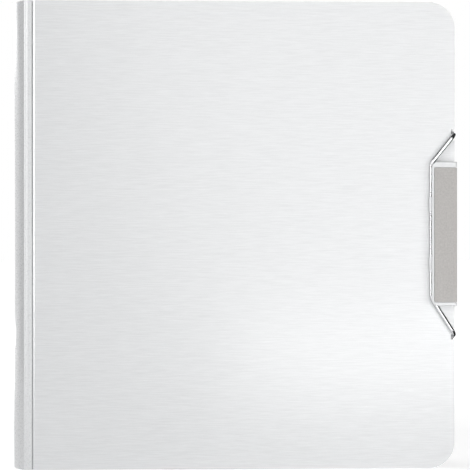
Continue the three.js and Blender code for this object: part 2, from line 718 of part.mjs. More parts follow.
// Trigger: a shaft between the rail's side walls, a tongue under the leaves and a finger tab.
// Drawn from the shaft, with the tab pointing to +Z for end 1 and to -Z for end -1
function trigger(name, end) {
  const shaftHalf = RAIL_WIDTH / 2 - RAIL_SHEET - CLEARANCE;
  const left = new THREE.Vector3(-shaftHalf, 0, 0);
  const right = new THREE.Vector3(shaftHalf, 0, 0);
  const shaft = toSolid(rod(TRIGGER_SHAFT_DIAMETER / 2, left, right, SMALL_ROUND_SEGMENTS));
  const tongueUnder = TRIGGER_SHAFT_HEIGHT - TONGUE_LIFT;
  const tongueHalf = TONGUE_WIDTH / 2;
  const tongueFrom = Math.min(0, -end * TONGUE_REACH);
  const tongueTo = Math.max(0, -end * TONGUE_REACH);
  const tongueOver = tongueUnder - TONGUE_SHEET;
  const tongue = block(-tongueHalf, tongueOver, tongueFrom, tongueHalf, tongueUnder, tongueTo);
  const outline = new THREE.Shape();
  const half = TRIGGER_WIDTH / 2;
  const reach = TRIGGER_REACH;
  outline.moveTo(-half, 0);
  outline.lineTo(half, 0);
  outline.absarc(half - TRIGGER_CORNER, reach - TRIGGER_CORNER, TRIGGER_CORNER, 0, Math.PI / 2, false);
  outline.absarc(TRIGGER_CORNER - half, reach - TRIGGER_CORNER, TRIGGER_CORNER, Math.PI / 2, Math.PI, false);
  outline.closePath();
  const tab = plate(outline, -TRIGGER_SHEET / 2, TRIGGER_SHEET / 2);
  if (end < 0) tab.rotateY(Math.PI);
  tab.rotateX(end * radians(TRIGGER_RISE));
  const body = shaft.add(toSolid(tongue)).add(toSolid(tab));
  return named(name, toGeometry(body), NICKEL);
}

// The clasp swings on the front bar's axis
const clasp = groupAt(crossbarX, crossbarY, claspMiddle, [claspWire(), claspGrip(), claspPad()]);

const mechanism = groupAt(0, 0, 0, [rail()]);
railRivetHeights.forEach((z, index) => {
  mechanism.add(railRivet(`rail_rivet_${index + 1}`, z));
});
const leafY = overBackCover(LEAF_AXIS_HEIGHT);
const leftX = RAIL_OFFSET - leafAxisOffset;
const rightX = RAIL_OFFSET + leafAxisOffset;
const leftRings = groupAt(leftX, leafY, 0, [leaf('leaf_left', -1), ...ringHalves('left', -1)]);
const rightRings = groupAt(rightX, leafY, 0, [leaf('leaf_right', 1), ...ringHalves('right', 1)]);
const shaftY = overBackCover(TRIGGER_SHAFT_HEIGHT);
const shaftReach = railLength / 2 - TRIGGER_SHAFT_INSET;
const topTrigger = groupAt(RAIL_OFFSET, shaftY, railMiddle + shaftReach, [trigger('trigger_top', 1)]);
const bottomTrigger = groupAt(RAIL_OFFSET, shaftY, railMiddle - shaftReach, [trigger('trigger_bottom', -1)]);

const binder = new THREE.Group();
binder.add(backCover(), spine(), frontCover());
binder.add(claspBracket(), bracketRivet('clasp_rivet_1', -1), bracketRivet('clasp_rivet_2', 1));
binder.add(catchPiece(), catchRivet('catch_rivet_1', -1), catchRivet('catch_rivet_2', 1));
binder.add(clasp, mechanism, leftRings, rightRings, topTrigger, bottomTrigger);

// The origin is at the bottom, in the middle of the whole object's width and depth
const bounds = new THREE.Box3().setFromObject(binder, true);
const centre = bounds.getCenter(new THREE.Vector3());
binder.position.set(-centre.x, -centre.y, -bounds.min.z);

export default binder;
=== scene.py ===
"""A white ring binder for A4 paper, closed by a wire clasp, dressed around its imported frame.

The case is one creased board with a rounded spine. The clasp is a bent chromed wire with a white
moulded grip and a grey pad. A ring mechanism is riveted inside the back cover. Sizes in the
classes are in millimetres and degrees, and everything that reaches Blender is in metres.
"""

import json
import logging
import math
from collections.abc import Callable, Iterator, Sequence
from contextlib import contextmanager
from dataclasses import dataclass
from enum import Enum

import bmesh
import bpy
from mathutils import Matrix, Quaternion, Vector


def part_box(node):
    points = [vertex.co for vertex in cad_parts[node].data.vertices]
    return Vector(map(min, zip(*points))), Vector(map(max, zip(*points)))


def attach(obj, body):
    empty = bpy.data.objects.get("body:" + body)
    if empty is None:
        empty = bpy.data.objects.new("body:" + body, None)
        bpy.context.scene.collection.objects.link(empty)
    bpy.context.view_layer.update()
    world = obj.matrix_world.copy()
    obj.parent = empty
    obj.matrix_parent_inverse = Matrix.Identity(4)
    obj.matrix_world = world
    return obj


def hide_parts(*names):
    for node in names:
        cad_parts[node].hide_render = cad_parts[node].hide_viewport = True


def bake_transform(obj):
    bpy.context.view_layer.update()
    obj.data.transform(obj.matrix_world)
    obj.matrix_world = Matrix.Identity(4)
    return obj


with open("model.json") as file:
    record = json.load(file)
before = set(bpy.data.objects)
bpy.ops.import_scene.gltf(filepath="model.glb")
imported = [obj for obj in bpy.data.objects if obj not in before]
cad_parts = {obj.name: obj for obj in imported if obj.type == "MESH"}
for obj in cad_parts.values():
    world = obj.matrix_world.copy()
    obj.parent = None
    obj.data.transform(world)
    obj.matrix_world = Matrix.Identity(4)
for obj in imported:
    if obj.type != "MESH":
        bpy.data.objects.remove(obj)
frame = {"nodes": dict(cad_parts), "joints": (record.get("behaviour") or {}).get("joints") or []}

MM = 0.001
NEAR = 0.02 * MM  # places closer than this count as the same
MERGE = NEAR / 4  # points closer than this become one
BEND_STEP = 7.5  # a bent wire's facets turn by at most this, in degrees
BOARD_SMOOTH = 22.0  # the boards' shading limit, which keeps the creases' slopes flat, in degrees
WIRE_SMOOTH = 50.0  # the wires' shading limit, in degrees
GRAIN_SHARE = 0.25  # how much of a streaked finish's pattern is grain
log = logging.getLogger("binder")
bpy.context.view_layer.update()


class Slot(Enum):
    """The record's material slots, listed here; no piece takes its finish from them."""

    BOARD = "case_board"
    FRAME = "clasp_frame"
    PAD = "clasp_pad"
    CLASP_WIRE = "clasp_wire"
    RING_WIRE = "ring_wire"
    MECHANISM = "mechanism"
    FITTINGS = "fittings"


class Side(Enum):
    """The two sides of the ring mechanism, by the sign of X from its middle."""

    LEFT = -1
    RIGHT = 1


class Face(Enum):
    """Which way the outer face of a cover looks, by the sign of Y."""

    FRONT = -1
    BACK = 1


def point(x: float, y: float, z: float) -> Vector:
    """Turns a place in millimetres into one in metres."""
    return Vector((x, y, z)) * MM


def joint_place(name: str) -> Vector:
    """Finds where a joint's axis runs.

    Args:
        name: The joint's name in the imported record.

    Returns:
        A point on the axis, in metres.
    """
    joint = next(j for j in frame["joints"] if j["name"] == name)
    return Vector(joint["pos_m"])


# The modelling bench


def clear_selection() -> None:
    """Leaves the mesh editor and deselects every object."""
    if bpy.context.mode != "OBJECT":
        bpy.ops.object.mode_set(mode="OBJECT")
    bpy.ops.object.select_all(action="DESELECT")


def take_up(piece: bpy.types.Object) -> None:
    """Makes one piece the selected and active object."""
    clear_selection()
    piece.select_set(True)
    bpy.context.view_layer.objects.active = piece


@contextmanager
def editing(piece: bpy.types.Object) -> Iterator[None]:
    """Opens a piece in the mesh editor with nothing selected, and closes it afterwards.

    Args:
        piece: The piece to edit.
    """
    take_up(piece)
    bpy.ops.object.mode_set(mode="EDIT")
    bpy.ops.mesh.select_all(action="DESELECT")
    yield
    bpy.ops.object.mode_set(mode="OBJECT")


def settle(name: str) -> bpy.types.Object:
    """Names the new primitive and puts its place, turn and scale into its mesh.

    Args:
        name: The piece's name.

    Returns:
        The primitive, with its object at the origin.
    """
    piece = bpy.context.object
    piece.name = name
    bpy.ops.object.transform_apply(location=True, rotation=True, scale=True)
    return piece


def block(name: str, corner: Vector, across: Vector) -> bpy.types.Object:
    """Adds a box between two opposite corners.

    Args:
        name: The piece's name.
        corner: One corner, in metres.
        across: The corner across from it, in metres.

    Returns:
        The box.
    """
    clear_selection()
    size = [abs(length) for length in across - corner]
    bpy.ops.mesh.primitive_cube_add(size=1.0, location=(corner + across) / 2, scale=size)
    return settle(name)


def strip(
    name: str, middle: Vector, turn: Sequence[float], width: float, height: float
) -> bpy.types.Object:
    """Adds a flat rectangle.

    Args:
        name: The piece's name.
        middle: Its middle, in metres.
        turn: Its rotation from lying flat, in radians.
        width: Its size along its own X, in metres.
        height: Its size along its own Y, in metres.

    Returns:
        The rectangle.
    """
    clear_selection()
    bpy.ops.mesh.primitive_plane_add(size=1.0, location=middle, rotation=turn)
    bpy.context.object.scale = (width, height, 1.0)
    return settle(name)


def pin(name: str, start: Vector, end: Vector, radius: float, sides: int = 48) -> bpy.types.Object:
    """Adds a round pin between two points.

    Args:
        name: The piece's name.
        start: The middle of one end, in metres.
        end: The middle of the other end, in metres.
        radius: The pin's radius, in metres.
        sides: How many sides its round face has.

    Returns:
        The pin.
    """
    run = end - start
    turn = run.to_track_quat("Z", "Y").to_euler()
    clear_selection()
    bpy.ops.mesh.primitive_cylinder_add(
        vertices=sides, radius=radius, depth=run.length, location=(start + end) / 2, rotation=turn
    )
    return settle(name)


def pick_edges(piece: bpy.types.Object, test: Callable[[Vector, Vector], bool]) -> None:
    """Selects the edges whose two ends pass a test, and nothing else.

    Args:
        piece: The piece that is open in the mesh editor.
        test: Takes the places of an edge's ends.
    """
    bpy.ops.mesh.select_mode(type="EDGE")
    bpy.ops.mesh.select_all(action="DESELECT")
    mesh = bmesh.from_edit_mesh(piece.data)
    for edge in mesh.edges:
        edge.select_set(test(edge.verts[0].co, edge.verts[1].co))
    bmesh.update_edit_mesh(piece.data)


def pick_points(piece: bpy.types.Object, test: Callable[[Vector], bool]) -> None:
    """Selects the vertices that pass a test, and nothing else.

    Args:
        piece: The piece that is open in the mesh editor.
        test: Takes a vertex's place.
    """
    bpy.ops.mesh.select_mode(type="VERT")
    bpy.ops.mesh.select_all(action="DESELECT")
    mesh = bmesh.from_edit_mesh(piece.data)
    for vertex in mesh.verts:
        vertex.select_set(test(vertex.co))
    bmesh.update_edit_mesh(piece.data)


def running(axis: str, **places: float) -> Callable[[Vector, Vector], bool]:
    """Makes a test for edges that run along an axis at given places.

    Args:
        axis: The axis, x, y or z, on which an edge's ends have to differ.
        places: Where both ends have to lie, in metres, by axis.

    Returns:
        A test that takes the places of an edge's ends.
    """

    def test(a: Vector, b: Vector) -> bool:
        """Tells such an edge by its two ends."""
        held = all(abs(getattr(end, key) - at) < NEAR for end in (a, b) for key, at in places.items())
        return held and abs(getattr(a, axis) - getattr(b, axis)) > NEAR

    return test


def round_picked(
    piece: bpy.types.Object, test: Callable[[Vector, Vector], bool], width: float, segments: int
) -> None:
    """Rounds the edges whose two ends pass a test.

    Args:
        piece: The piece.
        test: Takes the places of an edge's ends.
        width: The rounding's size, in millimetres.
        segments: How many strips it is made of, 1 for a flat slope.
    """
    with editing(piece):
        pick_edges(piece, test)
        bpy.ops.mesh.bevel(offset=width * MM, offset_type="OFFSET", segments=segments, profile=0.5)


def apply_modifier(piece: bpy.types.Object, kind: str, **settings: object) -> None:
    """Adds one modifier and applies it.

    Args:
        piece: The piece that it works on.
        kind: The modifier's type.
        settings: The modifier's values by name.
    """
    take_up(piece)
    modifier = piece.modifiers.new(kind.lower(), kind)
    for key, value in settings.items():
        setattr(modifier, key, value)
    bpy.ops.object.modifier_apply(modifier=modifier.name)


def combine(piece: bpy.types.Object, other: bpy.types.Object, operation: str) -> None:
    """Cuts or joins one solid with another, which is used up.

    Args:
        piece: The solid that stays.
        other: The solid that is used up.
        operation: DIFFERENCE cuts, UNION joins.
    """
    apply_modifier(piece, "BOOLEAN", operation=operation, solver="EXACT", object=other)
    bpy.data.objects.remove(other, do_unlink=True)


def round_edges(piece: bpy.types.Object, width: float, segments: int = 3, angle: float = 40.0) -> None:
    """Rounds every edge that is sharper than an angle.

    Args:
        piece: The piece.
        width: The rounding's size, in millimetres.
        segments: How many strips it is made of.
        angle: Edges flatter than this stay, in degrees.
    """
    apply_modifier(
        piece,
        "BEVEL",
        width=width * MM,
        segments=segments,
        limit_method="ANGLE",
        angle_limit=math.radians(angle),
    )


def smooth(piece: bpy.types.Object, angle: float = 32.0) -> None:
    """Shades round faces smoothly and keeps flat ones flat.

    Args:
        piece: The piece.
        angle: Edges sharper than this stay sharp, in degrees.
    """
    take_up(piece)
    bpy.ops.object.shade_smooth_by_angle(angle=math.radians(angle))
    apply_modifier(piece, "WEIGHTED_NORMAL", keep_sharp=True, weight=100)


def face_out(piece: bpy.types.Object) -> None:
    """Merges doubled points and turns every face outwards."""
    with editing(piece):
        bpy.ops.mesh.select_all(action="SELECT")
        bpy.ops.mesh.remove_doubles(threshold=MERGE)
        bpy.ops.mesh.normals_make_consistent(inside=False)


def arc_radius(half: float, rise: float) -> float:
    """Works out an arc's radius from half its chord and its rise."""
    return (half * half + rise * rise) / (2 * rise)


def bow(
    piece: bpy.types.Object,
    test: Callable[[Vector, Vector], bool],
    steps: int,
    angle: float,
    centre: Sequence[float],
    run: Sequence[float],
    outward: Vector,
) -> None:
    """Draws the edge of a strip round an upright arc and then straight on.

    Args:
        piece: The strip, which becomes a shell that looks outwards.
        test: Takes the places of an edge's ends, and tells the edge that is drawn out.
        steps: How many flats the arc has.
        angle: How far the arc turns, in radians.
        centre: A point on the arc's axis, in metres.
        run: The straight stretch after the arc, in metres.
        outward: The direction in which the crown looks.
    """
    with editing(piece):
        pick_edges(piece, test)
        bpy.ops.mesh.spin(steps=steps, angle=angle, center=centre, axis=(0, 0, 1))
        bpy.ops.mesh.extrude_region_move(TRANSFORM_OT_translate={"value": run})
    face_out(piece)
    crown = max(piece.data.polygons, key=lambda face: face.center.dot(outward))
    if crown.normal.dot(outward) < 0:
        with editing(piece):
            bpy.ops.mesh.select_all(action="SELECT")
            bpy.ops.mesh.flip_normals()


def thicken(piece: bpy.types.Object, thickness: float) -> None:
    """Gives a shell its thickness, inwards from its outer face.

    Args:
        piece: The shell.
        thickness: The board or sheet, in millimetres.
    """
    apply_modifier(piece, "SOLIDIFY", thickness=thickness * MM, offset=-1.0, use_even_offset=True)
    face_out(piece)


def copy_of(piece: bpy.types.Object, name: str, shift: Vector) -> bpy.types.Object:
    """Copies a piece with a mesh of its own, some way off.

    Args:
        piece: The piece to copy.
        name: The copy's name.
        shift: How far the copy lies from the piece, in metres.

    Returns:
        The copy.
    """
    take_up(piece)
    bpy.ops.object.duplicate(linked=False)
    bpy.ops.transform.translate(value=shift)
    return settle(name)


def hang(
    piece: bpy.types.Object,
    body: str | None,
    finish: bpy.types.Material,
    nodes: Sequence[str] = (),
) -> None:
    """Gives a finished piece its material and ties it to the frame.

    Args:
        piece: The piece.
        body: The body that it rides on, or None to leave it tied to no body.
        finish: Its material.
        nodes: The nodes of the frame that it stands for.
    """
    piece.data.materials.clear()
    piece.data.materials.append(finish)
    if body is not None:
        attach(piece, body)
    if nodes:
        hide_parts(*nodes)
    log.info("%s: %d faces", piece.name, len(piece.data.polygons))


# Effects that several finishes share


class Graph:
    """Short calls for building a node tree."""

    def __init__(self, tree: bpy.types.NodeTree) -> None:
        """Keeps the tree that nodes are added to."""
        self.tree = tree

    def feed(self, node: bpy.types.Node, inputs: dict) -> None:
        """Sets a node's inputs.

        Args:
            node: The node.
            inputs: Values, or sockets to link from, by input name or number.
        """
        for key, value in inputs.items():
            if isinstance(value, bpy.types.NodeSocket):
                self.tree.links.new(value, node.inputs[key])
            else:
                node.inputs[key].default_value = value

    def add(self, kind: str, inputs: dict | None = None, **settings: object) -> bpy.types.Node:
        """Adds one node.

        Args:
            kind: The node's type.
            inputs: What goes into it, as feed takes it.
            settings: The node's own properties.

        Returns:
            The node.
        """
        node = self.tree.nodes.new(kind)
        for key, value in settings.items():
            setattr(node, key, value)
        self.feed(node, inputs or {})
        return node

    def calculate(self, operation: str, *values: object) -> bpy.types.NodeSocket:
        """Adds a Math node.

        Args:
            operation: What it does with its values.
            values: Numbers or sockets.

        Returns:
            The result's socket.
        """
        return self.add("ShaderNodeMath", dict(enumerate(values)), operation=operation).outputs[0]


def new_group(name: str, inputs: dict[str, str], outputs: dict[str, str]) -> tuple[Graph, object, object]:
    """Starts a node group with named inputs and outputs.

    Args:
        name: The group's name.
        inputs: Socket types by input name.
        outputs: Socket types by output name.

    Returns:
        The group's graph, the outputs of its input node, and its output node.
    """
    tree = bpy.data.node_groups.new(name, "ShaderNodeTree")
    for direction, sockets in (("INPUT", inputs), ("OUTPUT", outputs)):
        for socket, kind in sockets.items():
            tree.interface.new_socket(name=socket, in_out=direction, socket_type=kind)
    graph = Graph(tree)
    entry = graph.add("NodeGroupInput")
    return graph, entry.outputs, graph.add("NodeGroupOutput")


def streak_group() -> bpy.types.NodeTree:
    """Builds long fine lines along X, as a brush or a roller leaves them.

    Returns:
        A group that turns a place into a value from 0 to 1.
    """
    sockets = {"Vector": "NodeSocketVector", "Length": "NodeSocketFloat", "Pitch": "NodeSocketFloat"}
    graph, entry, leave = new_group("streaks", sockets, {"Value": "NodeSocketFloat"})
    parts = graph.add("ShaderNodeSeparateXYZ", {0: entry["Vector"]}).outputs
    sizes = {"X": "Length", "Y": "Pitch", "Z": "Pitch"}
    scaled = {axis: graph.calculate("DIVIDE", parts[axis], entry[size]) for axis, size in sizes.items()}
    stretched = graph.add("ShaderNodeCombineXYZ", scaled).outputs[0]
    noise = {"Vector": stretched, "Scale": 1.0, "Detail": 4.0, "Roughness": 0.62}
    graph.feed(leave, {"Value": graph.add("ShaderNodeTexNoise", noise).outputs["Fac"]})
    return graph.tree


def grain_group() -> bpy.types.NodeTree:
    """Builds an even grain of a given size.

    Returns:
        A group that turns a place into a value from 0 to 1.
    """
    sockets = {"Vector": "NodeSocketVector", "Size": "NodeSocketFloat"}
    graph, entry, leave = new_group("grain", sockets, {"Value": "NodeSocketFloat"})
    scale = graph.calculate("DIVIDE", 1.0, entry["Size"])
    noise = {"Vector": entry["Vector"], "Scale": scale, "Detail": 3.0, "Roughness": 0.6}
    graph.feed(leave, {"Value": graph.add("ShaderNodeTexNoise", noise).outputs["Fac"]})
    return graph.tree


def tint_group() -> bpy.types.NodeTree:
    """Builds a colour that a mask darkens and lightens a little.

    Returns:
        A group that turns a colour, a mask and an amount into a colour.
    """
    sockets = {"Color": "NodeSocketColor", "Mask": "NodeSocketFloat", "Amount": "NodeSocketFloat"}
    graph, entry, leave = new_group("tint", sockets, {"Color": "NodeSocketColor"})
    swing = graph.calculate("SUBTRACT", entry["Mask"], 0.5)
    scaled = graph.calculate("MULTIPLY", swing, entry["Amount"])
    factor = graph.calculate("ADD", scaled, 1.0)
    grey = graph.add("ShaderNodeCombineColor", {"Red": factor, "Green": factor, "Blue": factor})
    # Only the numbers tell this node's colour sockets from its others, which share their names
    colours = {"Factor": 1.0, 6: entry["Color"], 7: grey.outputs["Color"]}
    product = graph.add(
        "ShaderNodeMix", colours, data_type="RGBA", blend_type="MULTIPLY", clamp_result=False
    )
    graph.feed(leave, {"Color": product.outputs[2]})
    return graph.tree


STREAKS = streak_group()
GRAIN = grain_group()
TINT = tint_group()


@dataclass(frozen=True)
class Finish:
    """A surface finish: a colour with streaks and grain that also shape its gloss.

    Attributes:
        name: The material's name.
        colour: Its base colour, linear.
        roughness: Its mean roughness.
        metallic: 1 for bare or plated metal.
        streak_length: Length of its lines along X, in millimetres, or 0 for none.
        streak_pitch: Height of its lines, in millimetres.
        grain_size: Size of its grain, in millimetres.
        tint: How far the pattern darkens and lightens the colour.
        gloss_swing: How far the pattern changes the roughness.
        relief: Depth of the pattern, in millimetres.
        specular: The shader's specular level.
        sheen: Weight of the soft bloom at grazing angles.
    """

    name: str
    colour: tuple[float, float, float]
    roughness: float
    metallic: float = 0.0
    streak_length: float = 0.0
    streak_pitch: float = 1.0
    grain_size: float = 0.4
    tint: float = 0.02
    gloss_swing: float = 0.1
    relief: float = 0.01
    specular: float = 0.5
    sheen: float = 0.0

    def pattern(self, graph: Graph) -> bpy.types.NodeSocket:
        """Adds the pattern that colour, gloss and relief share.

        Args:
            graph: The material's graph.

        Returns:
            A socket that gives 0 to 1 over the surface.
        """
        place = graph.add("ShaderNodeTexCoord").outputs["Object"]
        size = {"Vector": place, "Size": self.grain_size * MM}
        grain = graph.add("ShaderNodeGroup", size, node_tree=GRAIN).outputs["Value"]
        if not self.streak_length:
            return grain
        sizes = {"Length": self.streak_length * MM, "Pitch": self.streak_pitch * MM}
        streaks = graph.add("ShaderNodeGroup", {"Vector": place, **sizes}, node_tree=STREAKS)
        blend = {"Factor": GRAIN_SHARE, 2: streaks.outputs["Value"], 3: grain}
        return graph.add("ShaderNodeMix", blend, data_type="FLOAT").outputs[0]

    def build(self) -> bpy.types.Material:
        """Builds the material.

        Returns:
            The material.
        """
        material = bpy.data.materials.new(self.name)
        material.use_nodes = True
        graph = Graph(material.node_tree)
        mask = self.pattern(graph)
        shades = {"Color": (*self.colour, 1.0), "Mask": mask, "Amount": self.tint}
        tint = graph.add("ShaderNodeGroup", shades, node_tree=TINT)
        smoothest = self.roughness - self.gloss_swing / 2
        relief = {"Strength": 1.0, "Distance": self.relief * MM, "Height": mask}
        graph.feed(
            material.node_tree.nodes["Principled BSDF"],
            {
                "Base Color": tint.outputs["Color"],
                "Roughness": graph.calculate("MULTIPLY_ADD", mask, self.gloss_swing, smoothest),
                "Normal": graph.add("ShaderNodeBump", relief).outputs["Normal"],
                "Metallic": self.metallic,
                "Specular IOR Level": self.specular,
                "Sheen Weight": self.sheen,
            },
        )
        return material


BOARD_WHITE = (0.8, 0.81, 0.82)
BRUSHED_BOARD = Finish(
    "brushed_board", BOARD_WHITE, 0.25, streak_length=14.0, streak_pitch=0.7, grain_size=0.5,
    tint=0.32, gloss_swing=0.12, relief=0.014, specular=1.0,
).build()
SMOOTH_BOARD = Finish(
    "smooth_board", BOARD_WHITE, 0.28, grain_size=0.9, tint=0.06, gloss_swing=0.08, relief=0.004,
    specular=0.9,
).build()
# Painted shade: the film is the same board, but its colour is a darker grey so that the crease's groove
# shows dark.
CREASE_FILM_PAINTED_SHADE = Finish(
    "crease_film_painted_shade", (0.6, 0.605, 0.615), 0.5, grain_size=0.6, tint=0.04, gloss_swing=0.1, relief=0.004
).build()
GRIP_WHITE = Finish(
    "grip_white", (0.84, 0.85, 0.86), 0.26, grain_size=0.7, tint=0.01, gloss_swing=0.05, relief=0.002
).build()
PAD_GREY = Finish(
    "pad_grey", (0.535, 0.518, 0.503), 0.8, grain_size=1.0, tint=0.55, gloss_swing=0.1, relief=0.03,
    specular=0.3, sheen=0.15,
).build()
WIRE_CHROME = Finish(
    "wire_chrome", (0.58, 0.58, 0.59), 0.07, metallic=1.0, grain_size=1.2, tint=0.04, gloss_swing=0.06,
    relief=0.001,
).build()
RING_NICKEL = Finish(
    "ring_nickel", (0.74, 0.74, 0.745), 0.18, metallic=1.0, grain_size=1.0, tint=0.04, gloss_swing=0.08,
    relief=0.001,
).build()
RAIL_NICKEL = Finish(
    "rail_nickel", (0.68, 0.685, 0.69), 0.3, metallic=1.0, streak_length=1.2, streak_pitch=3.0,
    grain_size=0.6, tint=0.08, gloss_swing=0.14, relief=0.002,
).build()
ZINC = Finish(
    "zinc", (0.56, 0.565, 0.575), 0.42, metallic=1.0, grain_size=1.6, tint=0.16, gloss_swing=0.2,
    relief=0.003,
).build()

DARK_CARD = Finish(
    "dark_card", (0.03, 0.03, 0.032), 0.8, grain_size=3.0, tint=0.1, gloss_swing=0.1, relief=0.01
)


# The case


@dataclass
class Notch:
    """A rectangle let into a cover's fore-edge.

    Attributes:
        bottom: Its lower end above the table.
        top: Its upper end above the table.
        depth: How far it goes in from the fore-edge.
    """

    bottom: float
    top: float
    depth: float


@dataclass
class Hole:
    """A round hole through a cover, sunk on the outside where a rivet's tail lies in it.

    Attributes:
        centre: The hole's middle, in metres.
        diameter: The hole.
        sink: The sunk part's diameter, or 0 for none.
        sink_depth: The sunk part's depth.
    """

    centre: Vector
    diameter: float
    sink: float = 0.0
    sink_depth: float = 0.0


@dataclass
class CoverBoard:
    """One flat cover of the case, from its crease to the fore-edge."""

    node: str
    face: Face
    notches: list[Notch]
    holes: list[Hole]
    corner_radius: float = 18.0
    corner_steps: int = 20
    crease_slope: float = 1.15
    crease_drop: float = 0.56
    edge_round: float = 0.4
    edge_steps: int = 5
    hole_sides: int = 32
    sink_sides: int = 40
    over_cut: float = 1.0

    def build(self) -> None:
        """Models the board with its round corners, the slope at its crease, its notches and holes."""
        low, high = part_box(self.node)
        board = block(f"{self.node}_board", low, high)
        outer_y = low.y if self.face is Face.FRONT else high.y
        inward = -self.face.value * MM
        foot_y = outer_y + self.crease_slope * inward
        round_picked(board, running("y", x=high.x), self.corner_radius, self.corner_steps)
        round_picked(board, running("z", x=low.x, y=outer_y), self.crease_slope, 1)
        with editing(board):
            pick_points(board, lambda co: abs(co.y - foot_y) < NEAR and co.x < low.x + NEAR)
            rise = (self.crease_drop - self.crease_slope) * inward
            bpy.ops.transform.translate(value=(0, rise, 0))
        self.cut(board, low, high)
        round_edges(board, self.edge_round, self.edge_steps)
        smooth(board, BOARD_SMOOTH)
        hang(board, self.node, BRUSHED_BOARD, [self.node])

    def cut(self, board: bpy.types.Object, low: Vector, high: Vector) -> None:
        """Cuts the notches into the fore-edge and drills the rivets' holes.

        Args:
            board: The board.
            low: Its lowest corner.
            high: Its highest corner.
        """
        spare = self.over_cut * MM
        for notch in self.notches:
            near = Vector((high.x - notch.depth * MM, low.y - spare, notch.bottom * MM))
            far = Vector((high.x + spare, high.y + spare, notch.top * MM))
            combine(board, block("notch", near, far), "DIFFERENCE")
        for hole in self.holes:
            x, z = hole.centre.x, hole.centre.z
            near, far = Vector((x, low.y - spare, z)), Vector((x, high.y + spare, z))
            combine(board, pin("hole", near, far, hole.diameter * MM / 2, self.hole_sides), "DIFFERENCE")
            if hole.sink:
                floor = Vector((x, high.y - hole.sink_depth * MM, z))
                combine(board, pin("sink", floor, far, hole.sink * MM / 2, self.sink_sides), "DIFFERENCE")


